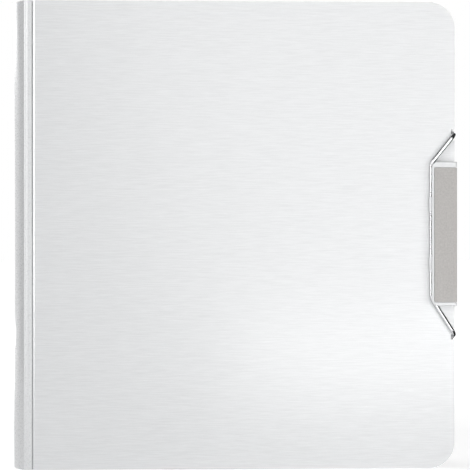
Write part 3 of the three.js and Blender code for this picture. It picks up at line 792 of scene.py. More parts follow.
@dataclass
class Spine:
    """The rounded spine with a flange along each crease and a finger hole."""

    flange_width: float = 5.0
    crease_slit: float = 0.5
    board: float = 2.5
    arc_steps: int = 28
    rows: int = 12
    waist: float = 1.2
    waist_power: float = 0.7
    foot_waist: float = 0.6
    end_reach: float = 0.5
    shoulder_slope: float = 1.45
    flange_round: float = 1.2
    flange_steps: int = 6
    edge_round: float = 0.3
    edge_steps: int = 5
    score_size: float = 0.62
    score_depth: float = 0.26
    hole_diameter: float = 24.0
    hole_height: float = 92.4
    hole_sides: int = 72

    def __post_init__(self) -> None:
        """Takes the spine's outline from its node."""
        self.low, self.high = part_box("spine")
        self.middle_y = (self.low.y + self.high.y) / 2
        self.shoulder_x = self.high.x + (self.crease_slit / 2 - self.flange_width) * MM
        self.bulge = self.shoulder_x - self.low.x
        half = (self.high.y - self.low.y) / 2
        self.radius = arc_radius(half, self.bulge)
        self.half_angle = math.asin(half / self.radius)

    def build(self) -> None:
        """Models the spine."""
        shell = self.bend_shell()
        self.draw_waist(shell)
        thicken(shell, self.board)
        self.square_ends(shell)
        self.shape_shoulders(shell)
        self.cut_finger_hole(shell)
        round_edges(shell, self.edge_round, self.edge_steps)
        self.score_creases(shell)
        smooth(shell, BOARD_SMOOTH)
        hang(shell, "spine", SMOOTH_BOARD, ["spine"])

    def bend_shell(self) -> bpy.types.Object:
        """Bends a flat strip into the spine's outer surface.

        Returns:
            The surface, looking outwards.
        """
        width = self.high.x - self.shoulder_x
        height = self.high.z - self.low.z
        middle = Vector(((self.high.x + self.shoulder_x) / 2, self.low.y, (self.low.z + self.high.z) / 2))
        shell = strip("spine_board", middle, (math.pi / 2, 0, 0), width, height)
        with editing(shell):
            pick_edges(shell, running("z"))
            bpy.ops.mesh.subdivide(number_cuts=self.rows - 1)
        shoulder = running("z", x=self.shoulder_x)
        centre, run = (self.low.x + self.radius, self.middle_y, 0), (width, 0, 0)
        bow(shell, shoulder, self.arc_steps, 2 * self.half_angle, centre, run, Vector((-1, 0, 0)))
        return shell

    def draw_waist(self, shell: bpy.types.Object) -> None:
        """Draws the crown in a little between its ends, as a long board relaxes.

        Args:
            shell: The spine's surface.
        """
        height = self.high.z - self.low.z
        with editing(shell):
            for row in range(self.rows + 1):
                share = row / self.rows
                level = self.low.z + share * height
                depth = self.waist * math.sin(math.pi * share) ** self.waist_power if 0 < share < 1 else 0.0
                depth = max(depth, self.foot_waist * (1 - share) ** 2)
                pick_points(
                    shell,
                    lambda co, level=level: abs(co.z - level) < NEAR and co.x < self.shoulder_x - NEAR,
                )
                bpy.ops.transform.resize(
                    value=(1 - depth * MM / self.bulge, 1, 1),
                    center_override=(self.shoulder_x, self.middle_y, level),
                )

    def square_ends(self, shell: bpy.types.Object) -> None:
        """Brings both ends of the board back into their planes.

        Args:
            shell: The spine.
        """
        reach = self.end_reach * MM
        with editing(shell):
            for end in (self.low.z, self.high.z):
                pick_points(shell, lambda co, end=end: abs(co.z - end) < reach)
                bpy.ops.transform.resize(value=(1, 1, 0), center_override=(0, 0, end))

    def shape_shoulders(self, shell: bpy.types.Object) -> None:
        """Slopes the shoulders flat and rounds the flanges' outer edges along the creases.

        Args:
            shell: The spine.
        """
        for plane in (self.low.y, self.high.y):
            shoulder, flange = (running("z", x=x, y=plane) for x in (self.shoulder_x, self.high.x))
            round_picked(shell, shoulder, self.shoulder_slope, 1)
            round_picked(shell, flange, self.flange_round, self.flange_steps)

    def cut_finger_hole(self, shell: bpy.types.Object) -> None:
        """Punches the finger hole through the crown.

        Args:
            shell: The spine.
        """
        height = self.low.z + self.hole_height * MM
        start = Vector((self.low.x - self.board * MM, self.middle_y, height))
        end = Vector((self.shoulder_x, self.middle_y, height))
        hole = pin("finger_hole", start, end, self.hole_diameter * MM / 2, self.hole_sides)
        combine(shell, hole, "DIFFERENCE")

    def score_creases(self, shell: bpy.types.Object) -> None:
        """Scores a thin line down each shoulder, where the board was pressed before it was bent.

        Args:
            shell: The spine.
        """
        half_fold = (math.pi / 2 - self.half_angle) / 2
        half = self.score_size * MM / 2
        below = (self.shoulder_slope * math.sin(half_fold) + self.score_depth) * MM
        for sign, plane in ((-1, self.low.y), (1, self.high.y)):
            inward = Vector((math.sin(half_fold), -sign * math.cos(half_fold), 0))
            middle = Vector((self.shoulder_x, plane, 0)) + inward * (below - half * math.sqrt(2))
            low = Vector((middle.x - half, middle.y - half, self.low.z - half))
            high = Vector((middle.x + half, middle.y + half, self.high.z + half))
            knife = block("score", low, high)
            angle = math.pi / 4 + sign * half_fold
            with editing(knife):
                bpy.ops.mesh.select_all(action="SELECT")
                bpy.ops.transform.rotate(
                    value=angle, orient_axis="Z", center_override=(middle.x, middle.y, 0)
                )
            combine(shell, knife, "DIFFERENCE")


@dataclass
class CreaseWeb:
    """The thin film of board left at the bottom of a crease; the real one bends as the case opens, this one
    stays flat.
    """

    name: str
    joint: str
    bodies: tuple[str, str]
    face: Face
    slit: float = 0.5
    overlap: float = 0.2
    depth: float = 1.8
    thickness: float = 0.4
    end_inset: float = 0.5
    cuts: int = 9

    def build(self) -> None:
        """Models the film as a flat strip across the crease's slit; the ends that it would bend between are
        worked out but not used.
        """
        low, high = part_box("spine")
        crease_x = joint_place(self.joint).x
        half = (self.slit / 2 + self.overlap) * MM
        outer_y = low.y if self.face is Face.FRONT else high.y
        inward = -self.face.value * MM
        first, inset = outer_y + self.depth * inward, self.end_inset * MM
        corner = Vector((crease_x - half, first, low.z + inset))
        across = Vector((crease_x + half, first + self.thickness * inward, high.z - inset))
        film = block(self.name, corner, across)
        with editing(film):
            pick_edges(film, running("x"))
            bpy.ops.mesh.subdivide(number_cuts=self.cuts)
        smooth(film)
        # The film's darker grey is painted shade in the crease's groove.
        hang(film, None, CREASE_FILM_PAINTED_SHADE)
        start = Vector((crease_x - self.slit * MM / 2, outer_y, 0))
        end = Vector((crease_x + self.slit * MM / 2, outer_y, 0))
        if self.bodies[0] != "spine":
            start, end = end, start
        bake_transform(film)


# Bent wires


def bend_wire(
    name: str, corners: Sequence[Vector], radii: Sequence[float], diameter: float, sides: int = 28
) -> bpy.types.Object:
    """Bends a round wire through a row of corners, as a wire former does.

    Args:
        name: The wire's name.
        corners: Its two ends and the sharp corners between them, in metres.
        radii: The bend's radius at each corner, in millimetres.
        diameter: The wire, in millimetres.
        sides: How many sides its section has.

    Returns:
        The wire, closed at both ends.
    """
    step = math.radians(BEND_STEP)
    heading = (corners[1] - corners[0]).normalized()
    clear_selection()
    bpy.ops.mesh.primitive_circle_add(
        vertices=sides,
        radius=diameter * MM / 2,
        location=corners[0],
        rotation=heading.to_track_quat("Z", "Y").to_euler(),
    )
    wire = settle(name)
    with editing(wire):
        bpy.ops.mesh.select_all(action="SELECT")
        reached = corners[0]
        for before, corner, after, wished in zip(corners, corners[1:], corners[2:], radii):
            incoming = (corner - before).normalized()
            outgoing = (after - corner).normalized()
            turn = incoming.angle(outgoing)
            shorter = min((corner - before).length, (after - corner).length) / 2
            radius = min(wished * MM, shorter / math.tan(turn / 2))
            start = corner - incoming * radius * math.tan(turn / 2)
            inward = (outgoing - incoming * math.cos(turn)).normalized()
            if (start - reached).length > NEAR:
                bpy.ops.mesh.extrude_region_move(TRANSFORM_OT_translate={"value": start - reached})
            bpy.ops.mesh.spin(
                steps=max(2, math.ceil(turn / step)),
                angle=-turn,
                center=start + inward * radius,
                axis=incoming.cross(outgoing).normalized(),
            )
            reached = corner + outgoing * radius * math.tan(turn / 2)
        bpy.ops.mesh.extrude_region_move(TRANSFORM_OT_translate={"value": corners[-1] - reached})
        bpy.ops.mesh.select_all(action="SELECT")
        bpy.ops.mesh.fill_holes(sides=sides)
    face_out(wire)
    return wire


@dataclass
class Clasp:
    """The wire clasp: a bent wire, and a moulded grip with a pad on its front bar.

    Places are measured from the middle of the front bar's axis.
    """

    wire: float = 3.0
    side_leg_x: float = 15.45
    rear_bar_y: float = 54.7
    crossbar_top: float = 48.4
    crossbar_bottom: float = -44.1
    edge_top: float = 67.5
    edge_bottom: float = -68.2
    rear_splay: float = 11.6
    wire_gap: float = 0.6
    crossbar_bend: float = 7.0
    edge_bend: float = 4.0

    grip_left: float = -0.4
    grip_right: float = 16.7
    grip_half: float = 49.0
    rim_over: float = 4.9
    underside: float = 2.8
    lip: float = 9.0
    fold_radius: float = 1.6
    corner_radius: float = 4.0
    outer_round: float = 0.75
    lip_corner: float = 2.5
    pocket_floor: float = 3.6
    pocket_left: float = 0.9
    pocket_half: float = 46.0
    pocket_lip: float = 8.2
    pad_shift: float = -0.8
    pocket_round: float = 0.16
    clip_length: float = 8.0
    clip_spacing: float = 76.0
    clip_drop: float = 0.6
    clip_channel: float = 1.8
    clip_wall: float = 0.8

    pad_left: float = 1.2
    pad_half: float = 45.7
    pad_over: float = 4.7
    pad_thickness: float = 0.8
    pad_lip: float = 7.9
    pad_corner: float = 1.0
    pad_round: float = 0.24

    over_cut: float = 2.0
    plate_steps: tuple[int, int, int] = (8, 12, 8)
    outer_steps: int = 5
    pocket_steps: int = 2
    pocket_angle: float = 55.0
    channel_sides: int = 40

    leg_room: float = 3.9
    leg_notch: float = 2.55
    grip_room: float = 0.4
    grip_notch: float = 1.75
    rear_room: float = 1.9
    rear_notch: float = 3.6

    def __post_init__(self) -> None:
        """Takes the front bar's place from its joint."""
        self.axis = joint_place("clasp_swing")

    def at(self, x: float, y: float, z: float) -> Vector:
        """Turns a place measured from the front bar into one in the scene."""
        return self.axis + point(x, y, z)

    def notch(self, bottom: float, top: float, room: float, depth: float) -> Notch:
        """Makes a cover's notch round a stretch of the clasp.

        Args:
            bottom: The stretch's lower end.
            top: Its upper end.
            room: How much higher and lower the notch reaches.
            depth: How deep it is.

        Returns:
            The notch, with its heights above the table.
        """
        middle = self.axis.z / MM
        return Notch(middle + bottom - room, middle + top + room, depth)

    def front_notches(self) -> list[Notch]:
        """Lists the front cover's notches, for the wire's two legs and for the grip."""
        legs = [self.notch(z, z, self.leg_room, self.leg_notch) for z in (self.edge_bottom, self.edge_top)]
        grip = self.notch(-self.grip_half, self.grip_half, self.grip_room, self.grip_notch)
        return [legs[0], grip, legs[1]]

    def back_notches(self) -> list[Notch]:
        """Lists the back cover's notches: one, for the wire's rear corners and bar."""
        bottom, top = self.edge_bottom - self.rear_splay, self.edge_top + self.rear_splay
        return [self.notch(bottom, top, self.rear_room, self.rear_notch)]

    def build(self) -> None:
        """Models the wire, the grip and the pad."""
        self.build_wire()
        self.build_grip()
        self.build_pad()

    def build_wire(self) -> None:
        """Bends the clasp's wire."""
        side, rear, gap = self.side_leg_x, self.rear_bar_y, self.wire_gap / 2
        corners = [
            self.at(side, rear, -gap),
            self.at(side, rear, self.edge_bottom - self.rear_splay),
            self.at(side, 0, self.edge_bottom),
            self.at(0, 0, self.crossbar_bottom),
            self.at(0, 0, self.crossbar_top),
            self.at(side, 0, self.edge_top),
            self.at(side, rear, self.edge_top + self.rear_splay),
            self.at(side, rear, gap),
        ]
        edge, bar = self.edge_bend, self.crossbar_bend
        wire = bend_wire("clasp_wire_bent", corners, [edge, edge, bar, bar, edge, edge], self.wire)
        smooth(wire, WIRE_SMOOTH)
        hang(wire, "clasp", WIRE_CHROME, ["clasp_wire"])

    def fold_plate(
        self,
        name: str,
        left: float,
        over: float,
        sheet: float,
        lip: float,
        ends: Sequence[float],
        radii: Sequence[float],
    ) -> bpy.types.Object:
        """Makes a plate that lies over the cover and turns down past the fore-edge.

        Args:
            name: The piece's name.
            left: Its left edge.
            over: Its outer face over the front bar's axis.
            sheet: Its thickness.
            lip: How far it reaches down past the fore-edge.
            ends: Its lower and upper end.
            radii: The radius of its fold, of its left corners and of its lip's corners.

        Returns:
            The plate.
        """
        bottom, top = ends
        spare = self.over_cut
        plate = block(name, self.at(left, -over, bottom), self.at(self.grip_right, lip, top))
        low = self.at(left - spare, sheet - over, bottom - spare)
        high = self.at(self.grip_right - sheet, lip + spare, top + spare)
        combine(plate, block("inside", low, high), "DIFFERENCE")
        fold, corner = self.at(self.grip_right, -over, 0), self.at(left, lip, 0)
        tests = (running("z", x=fold.x, y=fold.y), running("y", x=corner.x), running("x", y=corner.y))
        for test, radius, steps in zip(tests, radii, self.plate_steps):
            round_picked(plate, test, radius, steps)
        return plate

    def build_grip(self) -> None:
        """Models the grip: a folded frame with a pocket for the pad and two clips underneath."""
        half, spare = self.grip_half, self.over_cut
        radii = (self.fold_radius, self.corner_radius, self.lip_corner)
        sheet = self.rim_over - self.underside
        grip = self.fold_plate(
            "clasp_grip_frame", self.grip_left, self.rim_over, sheet, self.lip, (-half, half), radii
        )
        round_edges(grip, self.outer_round, self.outer_steps)
        bottom = self.pad_shift - self.pocket_half
        top = self.pad_shift + self.pocket_half
        depth = self.rim_over - self.pocket_floor
        low = self.at(self.pocket_left, -self.rim_over - spare, bottom)
        high = self.at(self.grip_right + spare, -self.pocket_floor, top)
        combine(grip, block("pocket", low, high), "DIFFERENCE")
        low = self.at(self.grip_right - depth, -self.rim_over - spare, bottom)
        high = self.at(self.grip_right + spare, self.pocket_lip, top)
        combine(grip, block("lip_pocket", low, high), "DIFFERENCE")
        for side in (-1, 1):
            self.add_clip(grip, side * self.clip_spacing / 2)
        round_edges(grip, self.pocket_round, self.pocket_steps, self.pocket_angle)
        smooth(grip)
        hang(grip, "clasp", GRIP_WHITE, ["clasp_grip"])

    def add_clip(self, grip: bpy.types.Object, middle: float) -> None:
        """Adds one of the clips that hold the grip on the front bar.

        Args:
            grip: The grip.
            middle: The clip's middle along the bar.
        """
        bottom, top = middle - self.clip_length / 2, middle + self.clip_length / 2
        right = self.clip_channel + self.clip_wall
        low = self.at(self.grip_left, -self.underside - self.clip_wall / 2, bottom)
        clip = block("clip", low, self.at(right, self.clip_drop, top))
        start = self.at(0, 0, bottom - self.over_cut)
        end = self.at(0, 0, top + self.over_cut)
        channel = pin("channel", start, end, self.clip_channel * MM, self.channel_sides)
        combine(clip, channel, "DIFFERENCE")
        combine(grip, clip, "UNION")

    def build_pad(self) -> None:
        """Models the soft pad in the grip's pocket."""
        ends = (self.pad_shift - self.pad_half, self.pad_shift + self.pad_half)
        radii = (self.pad_thickness, self.pad_corner, self.pad_corner)
        pad = self.fold_plate(
            "clasp_pad_soft", self.pad_left, self.pad_over, self.pad_thickness, self.pad_lip, ends, radii
        )
        round_edges(pad, self.pad_round)
        smooth(pad)
        hang(pad, "clasp", PAD_GREY, ["clasp_pad"])


# The ring mechanism


@dataclass
class RingMechanism:
    """The arched rail, its rings in two halves, and the triggers at its ends."""

    ring_count: int = 4
    ring_spacing: float = 80.0
    ring_wire: float = 3.0
    axis_offset: float = 12.2
    axis_height: float = 3.3
    foot_offset: float = 7.0
    foot_height: float = 3.7
    foot_rise: float = 7.0
    ring_top: float = 44.5
    post_lean: float = 3.0
    belly: float = 9.0
    belly_start: float = 6.0
    top_flat: float = 8.0
    post_bend: float = 6.0
    belly_bend: float = 9.0
    tip_gap: float = 0.15
    ring_sides: int = 24

    side_height: float = 5.0
    sheet: float = 1.0
    arc_steps: int = 20
    shoulder_round: float = 0.9
    shoulder_steps: int = 6
    slot_inner: float = 5.1
    slot_outer: float = 11.8
    slot_width: float = 3.8
    slot_round: float = 1.2
    slot_steps: int = 4
    rivet_hole: float = 5.6
    edge_round: float = 0.14
    edge_steps: int = 2
    over_cut: float = 1.0

    shaft_diameter: float = 2.6
    shaft_half: float = 12.7
    tab_width: float = 16.0
    tab_reach: float = 15.0
    tab_corner: float = 4.0
    tab_steps: int = 8
    tab_rise: float = 45.0
    tongue_reach: float = 8.0
    tongue_width: float = 5.0
    tongue_over: float = 0.6
    tongue_under: float = 1.4

    def __post_init__(self) -> None:
        """Takes the rail's place from its node."""
        self.low, self.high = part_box("rail")
        self.middle = (self.low + self.high) / 2

    def build(self) -> None:
        """Models the rail, the rings and the triggers."""
        self.build_rail()
        self.build_rings(Side.LEFT, "left_rings", "rings_open")
        self.build_rings(Side.RIGHT, "right_rings", "right_rings_open")
        self.build_trigger("trigger_top", "top_trigger_press", 1)
        self.build_trigger("trigger_bottom", "bottom_trigger_press", -1)

    def ring_heights(self) -> list[float]:
        """Works out the height of each ring's middle, in metres."""
        first = self.middle.z - (self.ring_count - 1) / 2 * self.ring_spacing * MM
        return [first + index * self.ring_spacing * MM for index in range(self.ring_count)]

    def build_rail(self) -> None:
        """Models the arched rail with its slots and rivet holes."""
        low, high = self.low, self.high
        half = (high.x - low.x) / 2
        shoulder_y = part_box("back_cover")[0].y - self.side_height * MM
        wall = high.y - shoulder_y
        radius = arc_radius(half, shoulder_y - low.y)
        middle = Vector((low.x, (high.y + shoulder_y) / 2, self.middle.z))
        rail = strip("rail_pressed", middle, (math.pi / 2, 0, math.pi / 2), wall, high.z - low.z)
        shoulder = running("z", y=shoulder_y)
        angle, centre = -2 * math.asin(half / radius), (self.middle.x, low.y + radius, 0)
        bow(rail, shoulder, self.arc_steps, angle, centre, (0, wall, 0), Vector((0, -1, 0)))
        thicken(rail, self.sheet)
        for x in (low.x, high.x):
            outer = running("z", x=x, y=shoulder_y)
            round_picked(rail, outer, self.shoulder_round, self.shoulder_steps)
        self.cut_rail(rail)
        round_edges(rail, self.edge_round, self.edge_steps)
        smooth(rail)
        hang(rail, "back_cover", RAIL_NICKEL, ["rail"])

    def cut_rail(self, rail: bpy.types.Object) -> None:
        """Cuts the slots that the rings rise through and drills the two rivet holes.

        Args:
            rail: The rail.
        """
        half = self.slot_width * MM / 2
        over, under = self.low.y - self.over_cut * MM, self.low.y + self.side_height * MM
        for height in self.ring_heights():
            for side in Side:
                inner, outer = (side.value * end * MM for end in (self.slot_inner, self.slot_outer))
                corner = Vector((self.middle.x + inner, over, height - half))
                cutter = block("slot", corner, Vector((self.middle.x + outer, under, height + half)))
                round_picked(cutter, running("y"), self.slot_round, self.slot_steps)
                combine(rail, cutter, "DIFFERENCE")
        for side in Side:
            height = self.middle.z + side.value * self.ring_spacing * MM
            start, end = Vector((self.middle.x, over, height)), Vector((self.middle.x, under, height))
            combine(rail, pin("hole", start, end, self.rivet_hole * MM / 2), "DIFFERENCE")
    def build_rings(self, side: Side, body: str, joint: str) -> None:
        """Bends one ring half and copies it along the rail.

        Args:
            side: Which half: the round one stands on the left, the straight one on the right.
            body: The body that the halves ride on.
            joint: The joint that they turn on.
        """
        axis = joint_place(joint)
        heights = self.ring_heights()
        sign = side.value

        def at(x: float, height: float) -> Vector:
            """Turns a place on the ring's outline into one in the scene."""
            offset = point(sign * (x - self.axis_offset), self.axis_height - height, 0)
            return Vector((axis.x + offset.x, axis.y + offset.y, heights[0]))

        foot, top = self.foot_height, self.ring_top
        if side is Side.RIGHT:
            lean = self.foot_offset + self.post_lean
            corners = [at(self.foot_offset, foot), at(lean, top), at(self.tip_gap, top)]
            radii = [self.post_bend]
        else:
            out = self.foot_offset + self.belly
            corners = [
                at(self.foot_offset, foot),
                at(self.foot_offset, foot + self.foot_rise),
                at(out, foot + self.foot_rise + self.belly_start),
                at(out, top - self.belly),
                at(self.top_flat, top),
                at(self.tip_gap, top),
            ]
            radii = [self.post_bend, self.belly_bend, self.belly_bend, self.belly_bend]
        name = side.name.lower()
        first = bend_wire(f"ring_wire_1_{name}", corners, radii, self.ring_wire, self.ring_sides)
        smooth(first, WIRE_SMOOTH)
        rings = [first]
        for index, height in enumerate(heights[1:], start=2):
            shift = Vector((0, 0, height - heights[0]))
            rings.append(copy_of(first, f"ring_wire_{index}_{name}", shift))
        for index, ring in enumerate(rings, start=1):
            hang(ring, body, RING_NICKEL, [f"ring_{index}_{name}"])

    def build_trigger(self, node: str, joint: str, end: int) -> None:
        """Models one trigger: a shaft, a tongue under the leaves and a finger tab.

        Args:
            node: The node that it stands for, which is also its body.
            joint: The joint that it turns on.
            end: 1 at the rail's top, -1 at its bottom.
        """
        axis = joint_place(joint)
        half, reach = self.tab_width / 2, end * self.tab_reach
        corner, across = point(-half, -self.sheet / 2, 0), point(half, self.sheet / 2, reach)
        trigger = block(f"{node}_pressed", axis + corner, axis + across)
        tip = axis.z + reach * MM
        round_picked(trigger, running("y", z=tip), self.tab_corner, self.tab_steps)
        with editing(trigger):
            bpy.ops.mesh.select_all(action="SELECT")
            bpy.ops.transform.rotate(
                value=-end * math.radians(self.tab_rise), orient_axis="X", center_override=axis
            )
        shaft = Vector((self.shaft_half * MM, 0, 0))
        combine(trigger, pin("shaft", axis - shaft, axis + shaft, self.shaft_diameter * MM / 2), "UNION")
        half = self.tongue_width / 2
        corner = axis + point(-half, self.tongue_over, 0)
        across = axis + point(half, self.tongue_under, -end * self.tongue_reach)
        combine(trigger, block("tongue", corner, across), "UNION")
        round_edges(trigger, self.edge_round, self.edge_steps)
        smooth(trigger)
        hang(trigger, node, RAIL_NICKEL, [node])


# Rivets and plain fittings


@dataclass
class RivetPair:
    """Two like rivets along Y, each with a domed head, a shank and a closed-over tail.

    Attributes:
        prefix: The start of the two nodes' names.
        body: The body that they ride on.
        shank: The shank's diameter.
        head: The head's diameter.
        head_thickness: The head's thickness.
        hole: Diameter of the hole that they need in a cover.
        sink: Diameter of its sunk part, or 0 for none.
        sink_depth: The sunk part's depth.
        dome: Rounding of the head's rim.
        dome_steps: How many strips that rounding has.
        sides: How many sides the rivet has.
    """

    prefix: str
    body: str
    shank: float
    head: float
    head_thickness: float
    hole: float
    sink: float = 0.0
    sink_depth: float = 0.0
    dome: float = 0.3
    dome_steps: int = 4
    sides: int = 40

    def holes(self) -> list[Hole]:
        """Lists the two holes that the rivets need in a cover."""
        sizes = (self.hole, self.sink, self.sink_depth)
        return [Hole(sum(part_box(f"{self.prefix}_{i}"), Vector()) / 2, *sizes) for i in (1, 2)]

    def build(self) -> None:
        """Models the first rivet and copies it to the second one's place."""
        low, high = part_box(f"{self.prefix}_1")
        place = (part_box(f"{self.prefix}_2")[0] - low).z
        first = self.turn_rivet(low, high)
        second = copy_of(first, f"{self.prefix}_2_domed", Vector((0, 0, place)))
        for index, rivet in enumerate((first, second), start=1):
            hang(rivet, self.body, ZINC, [f"{self.prefix}_{index}"])

    def turn_rivet(self, low: Vector, high: Vector) -> bpy.types.Object:
        """Draws a rivet out of a disc: the head, then the shank, then the tail.

        Args:
            low: The lowest corner of its box.
            high: The highest corner of its box.

        Returns:
            The rivet.
        """
        centre = (low + high) / 2
        thickness = self.head_thickness * MM
        grow = self.head / self.shank
        clear_selection()
        bpy.ops.mesh.primitive_circle_add(
            vertices=self.sides,
            radius=self.head * MM / 2,
            fill_type="NGON",
            location=(centre.x, low.y, centre.z),
            rotation=(math.pi / 2, 0, 0),
        )
        rivet = settle(f"{self.prefix}_1_domed")
        shank_length = high.y - low.y - 2 * thickness
        with editing(rivet):
            bpy.ops.mesh.select_all(action="SELECT")
            self.draw_out(thickness)
            self.draw_out(0.0, 1 / grow)
            self.draw_out(shank_length)
            self.draw_out(0.0, grow)
            self.draw_out(thickness)
        face_out(rivet)
        round_edges(rivet, self.dome, self.dome_steps)
        smooth(rivet)
        return rivet

    def draw_out(self, length: float, scale: float = 1.0) -> None:
        """Extrudes the selected disc along Y and resizes it.

        Args:
            length: How far it goes, in metres.
            scale: How many times wider it gets.
        """
        bpy.ops.mesh.extrude_region_move(TRANSFORM_OT_translate={"value": (0, length, 0)})
        if scale != 1.0:
            bpy.ops.transform.resize(value=(scale, 1, scale))


@dataclass
class PlainFittings:
    """The small pressed fittings whose solids are already right: they only get their finish."""

    nodes: Sequence[str] = ("clasp_bracket", "catch", "leaf_left", "leaf_right")

    def dress(self) -> None:
        """Gives each fitting its zinc plating."""
        for node in self.nodes:
            piece = frame["nodes"][node]
            piece.data.materials.clear()
            piece.data.materials.append(ZINC)
            log.info("%s: dressed", node)


# The studio


@dataclass
class SoftBox:
    """A rectangular lamp that looks at a point."""

    name: str
    place: tuple[float, float, float]
    target: tuple[float, float, float]
    size: tuple[float, float]
    power: float
    roll: float = 0.0

    def build(self) -> None:
        """Hangs the lamp."""
        place, target = Vector(self.place), Vector(self.target)
        turn = (target - place).to_track_quat("-Z", "Y")
        turn = turn @ Quaternion((0.0, 0.0, 1.0), math.radians(self.roll))
        clear_selection()
        bpy.ops.object.light_add(type="AREA", location=place, rotation=turn.to_euler())
        lamp = bpy.context.object
        lamp.name = self.name
        lamp.data.shape = "RECTANGLE"
        lamp.data.size, lamp.data.size_y = self.size
        lamp.data.energy = self.power
        lamp.visible_camera = False


@dataclass
class DarkCard:
    """A dark card beside the set that only shows as a line in polished metal."""

    name: str
    low: tuple[float, float, float]
    high: tuple[float, float, float]

    def build(self, finish: bpy.types.Material) -> None:
        """Stands the card up.

        Args:
            finish: The card's material.
        """
        card = block(self.name, Vector(self.low), Vector(self.high))
        card.data.materials.append(finish)
        card.visible_camera = card.visible_diffuse = card.visible_shadow = False


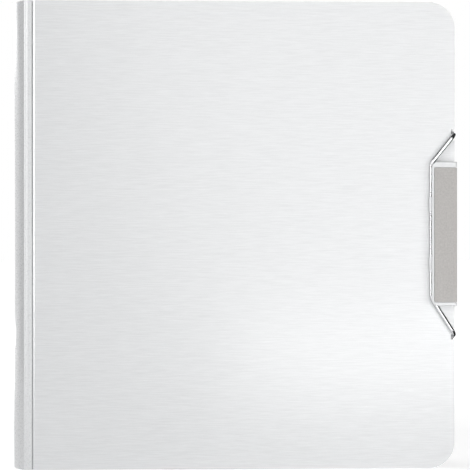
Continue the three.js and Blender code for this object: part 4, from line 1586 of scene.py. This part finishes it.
@dataclass
class Studio:
    """A plain white studio: floor, sky, lamps and the camera at the photograph's angle."""

    camera_distance: float = 1.5
    camera_yaw: float = 2.65
    camera_height: float = 0.15915
    aim_x: float = 0.0002
    frame_width: float = 0.31922
    sensor: float = 36.0
    floor_radius: float = 12.0
    floor_sides: int = 96
    floor_colour: tuple[float, float, float, float] = (0.8, 0.8, 0.8, 1.0)
    floor_glow: tuple[float, float] = (0.62, 0.94)
    glow_reach: tuple[float, float] = (0.45, 1.5)
    sky_strength: float = 0.1
    lamps: Sequence[SoftBox] = (
        SoftBox("sheen_panel", (0.3, -1.52, 0.36), (0.3, 0.0, 0.36), (0.8, 1.1), 5.5, 15.0),
        SoftBox("low_right", (0.75, -0.8, 0.1), (0.1, 0.0, 0.03), (0.5, 0.2), 2.2),
        SoftBox("foot_strip", (0.26, -0.42, 0.05), (0.14, 0.0, 0.0), (0.5, 0.08), 0.32),
        SoftBox("edge_strip", (-1.27, -0.82, 0.42), (-0.14, 0.0, 0.3), (0.12, 0.8), 5.6),
        SoftBox("key_lamp", (-0.9, -1.3, 1.1), (0.0, 0.0, 0.16), (0.7, 0.7), 4.6),
        SoftBox("back_left", (-0.8, 1.7, 0.9), (0.0, 0.0, 0.16), (1.0, 1.0), 12.0),
        SoftBox("back_right", (1.3, 1.3, 1.2), (0.0, 0.0, 0.16), (0.8, 0.8), 8.0),
    )
    cards: Sequence[DarkCard] = (
        DarkCard("right_card", (0.6, -0.9, 0.005), (0.61, 0.5, 0.7)),
        DarkCard("left_card", (-0.81, -0.1, 0.005), (-0.8, 0.6, 1.2)),
        DarkCard("low_card", (0.17, -0.5, 0.002), (0.59, 0.4, 0.004)),
        DarkCard("high_card", (-0.7, -0.9, 0.9), (0.9, 0.5, 0.91)),
        DarkCard("front_left_card", (-1.8, -1.7, 0.005), (-0.3, -1.69, 1.6)),
        DarkCard("front_high_card", (-0.3, -1.7, 0.95), (0.74, -1.69, 1.8)),
        DarkCard("front_right_card", (0.74, -1.7, 0.005), (1.9, -1.69, 1.6)),
    )

    def build(self) -> None:
        """Builds the whole studio."""
        self.build_floor()
        self.build_sky()
        for lamp in self.lamps:
            lamp.build()
        dark = DARK_CARD.build()
        for card in self.cards:
            card.build(dark)
        self.build_camera()
        bpy.context.scene.view_settings.view_transform = "Standard"

    def show_background(
        self, graph: Graph, light: bpy.types.Node, seen: bpy.types.Node, output: bpy.types.Node
    ) -> None:
        """Shows one shader to camera, glossy and transmission rays and another to all others.

        Args:
            graph: The material's or the world's graph.
            light: The shader that lights the set.
            seen: The shader that is seen.
            output: The output node.
        """
        rays = graph.add("ShaderNodeLightPath").outputs
        some = graph.calculate("MAXIMUM", rays["Is Camera Ray"], rays["Is Glossy Ray"])
        mask = graph.calculate("MAXIMUM", some, rays["Is Transmission Ray"])
        mix = graph.add("ShaderNodeMixShader", {0: mask, 1: light.outputs[0], 2: seen.outputs[0]})
        graph.feed(output, {0: mix.outputs[0]})

    def build_floor(self) -> None:
        """Lays a white floor that keeps the binder's shadow."""
        clear_selection()
        bpy.ops.mesh.primitive_circle_add(
            vertices=self.floor_sides, radius=self.floor_radius, fill_type="NGON"
        )
        floor = settle("floor")
        material = bpy.data.materials.new("studio_floor")
        material.use_nodes = True
        graph, nodes = Graph(material.node_tree), material.node_tree.nodes
        nodes.remove(nodes["Principled BSDF"])
        white = graph.add("ShaderNodeBsdfDiffuse", {"Color": self.floor_colour})
        place = graph.add("ShaderNodeTexCoord").outputs["Object"]
        distance = graph.add("ShaderNodeVectorMath", {0: place}, operation="LENGTH").outputs["Value"]
        ends = dict(zip(("From Min", "From Max", "To Min", "To Max"), self.glow_reach + self.floor_glow))
        rise = graph.add("ShaderNodeMapRange", {"Value": distance, **ends})
        glow = graph.add("ShaderNodeEmission", {"Strength": rise.outputs["Result"]})
        both = graph.add("ShaderNodeAddShader", {0: white.outputs[0], 1: glow.outputs[0]})
        self.show_background(graph, white, both, nodes["Material Output"])
        floor.data.materials.append(material)

    def build_sky(self) -> None:
        """Makes the surroundings white to the eye and softer as a light."""
        world = bpy.data.worlds.new("studio_sky")
        world.use_nodes = True
        bpy.context.scene.world = world
        graph, nodes = Graph(world.node_tree), world.node_tree.nodes
        white = (1.0, 1.0, 1.0, 1.0)
        graph.feed(nodes["Background"], {"Color": white, "Strength": self.sky_strength})
        bright = graph.add("ShaderNodeBackground", {"Color": white, "Strength": 1.0})
        self.show_background(graph, nodes["Background"], bright, nodes["World Output"])

    def build_camera(self) -> None:
        """Sets up the camera in front of the cover, turned as in the photograph."""
        front_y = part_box("front_cover")[0].y
        yaw = math.radians(self.camera_yaw)
        back = Vector((-math.sin(yaw), -math.cos(yaw), 0.0)) * self.camera_distance
        target = Vector((self.aim_x, front_y, self.camera_height))
        clear_selection()
        bpy.ops.object.camera_add(location=target + back, rotation=(math.pi / 2, 0, -yaw))
        camera = bpy.context.object
        camera.data.sensor_width = self.sensor
        camera.data.lens = self.sensor * self.camera_distance / self.frame_width
        camera.data.clip_end = 2 * self.floor_radius
        bpy.context.scene.camera = camera


def main() -> None:
    """Builds the binder around its frame, then the studio around the binder."""
    clasp = Clasp()
    clasp_rivets = RivetPair("clasp_rivet", "front_cover", 2.5, 5.0, 0.6, hole=3.1)
    catch_rivets = RivetPair(
        "catch_rivet", "back_cover", 2.5, 5.0, 0.6, hole=3.1, sink=5.6, sink_depth=0.9
    )
    rail_rivets = RivetPair(
        "rail_rivet", "back_cover", 5.0, 8.0, 0.8, hole=5.6, sink=8.6, sink_depth=1.1
    )
    CoverBoard("front_cover", Face.FRONT, clasp.front_notches(), clasp_rivets.holes()).build()
    back_holes = catch_rivets.holes() + rail_rivets.holes()
    CoverBoard("back_cover", Face.BACK, clasp.back_notches(), back_holes).build()
    Spine().build()
    CreaseWeb("front_crease", "front_cover_fold", ("spine", "front_cover"), Face.FRONT).build()
    CreaseWeb("back_crease", "spine_fold", ("back_cover", "spine"), Face.BACK).build()
    clasp.build()
    RingMechanism().build()
    for rivets in (clasp_rivets, catch_rivets, rail_rivets):
        rivets.build()
    PlainFittings().dress()
    Studio().build()


if __name__ == "__main__":
    logging.basicConfig(level=logging.INFO, format="%(name)s %(message)s")
    main()
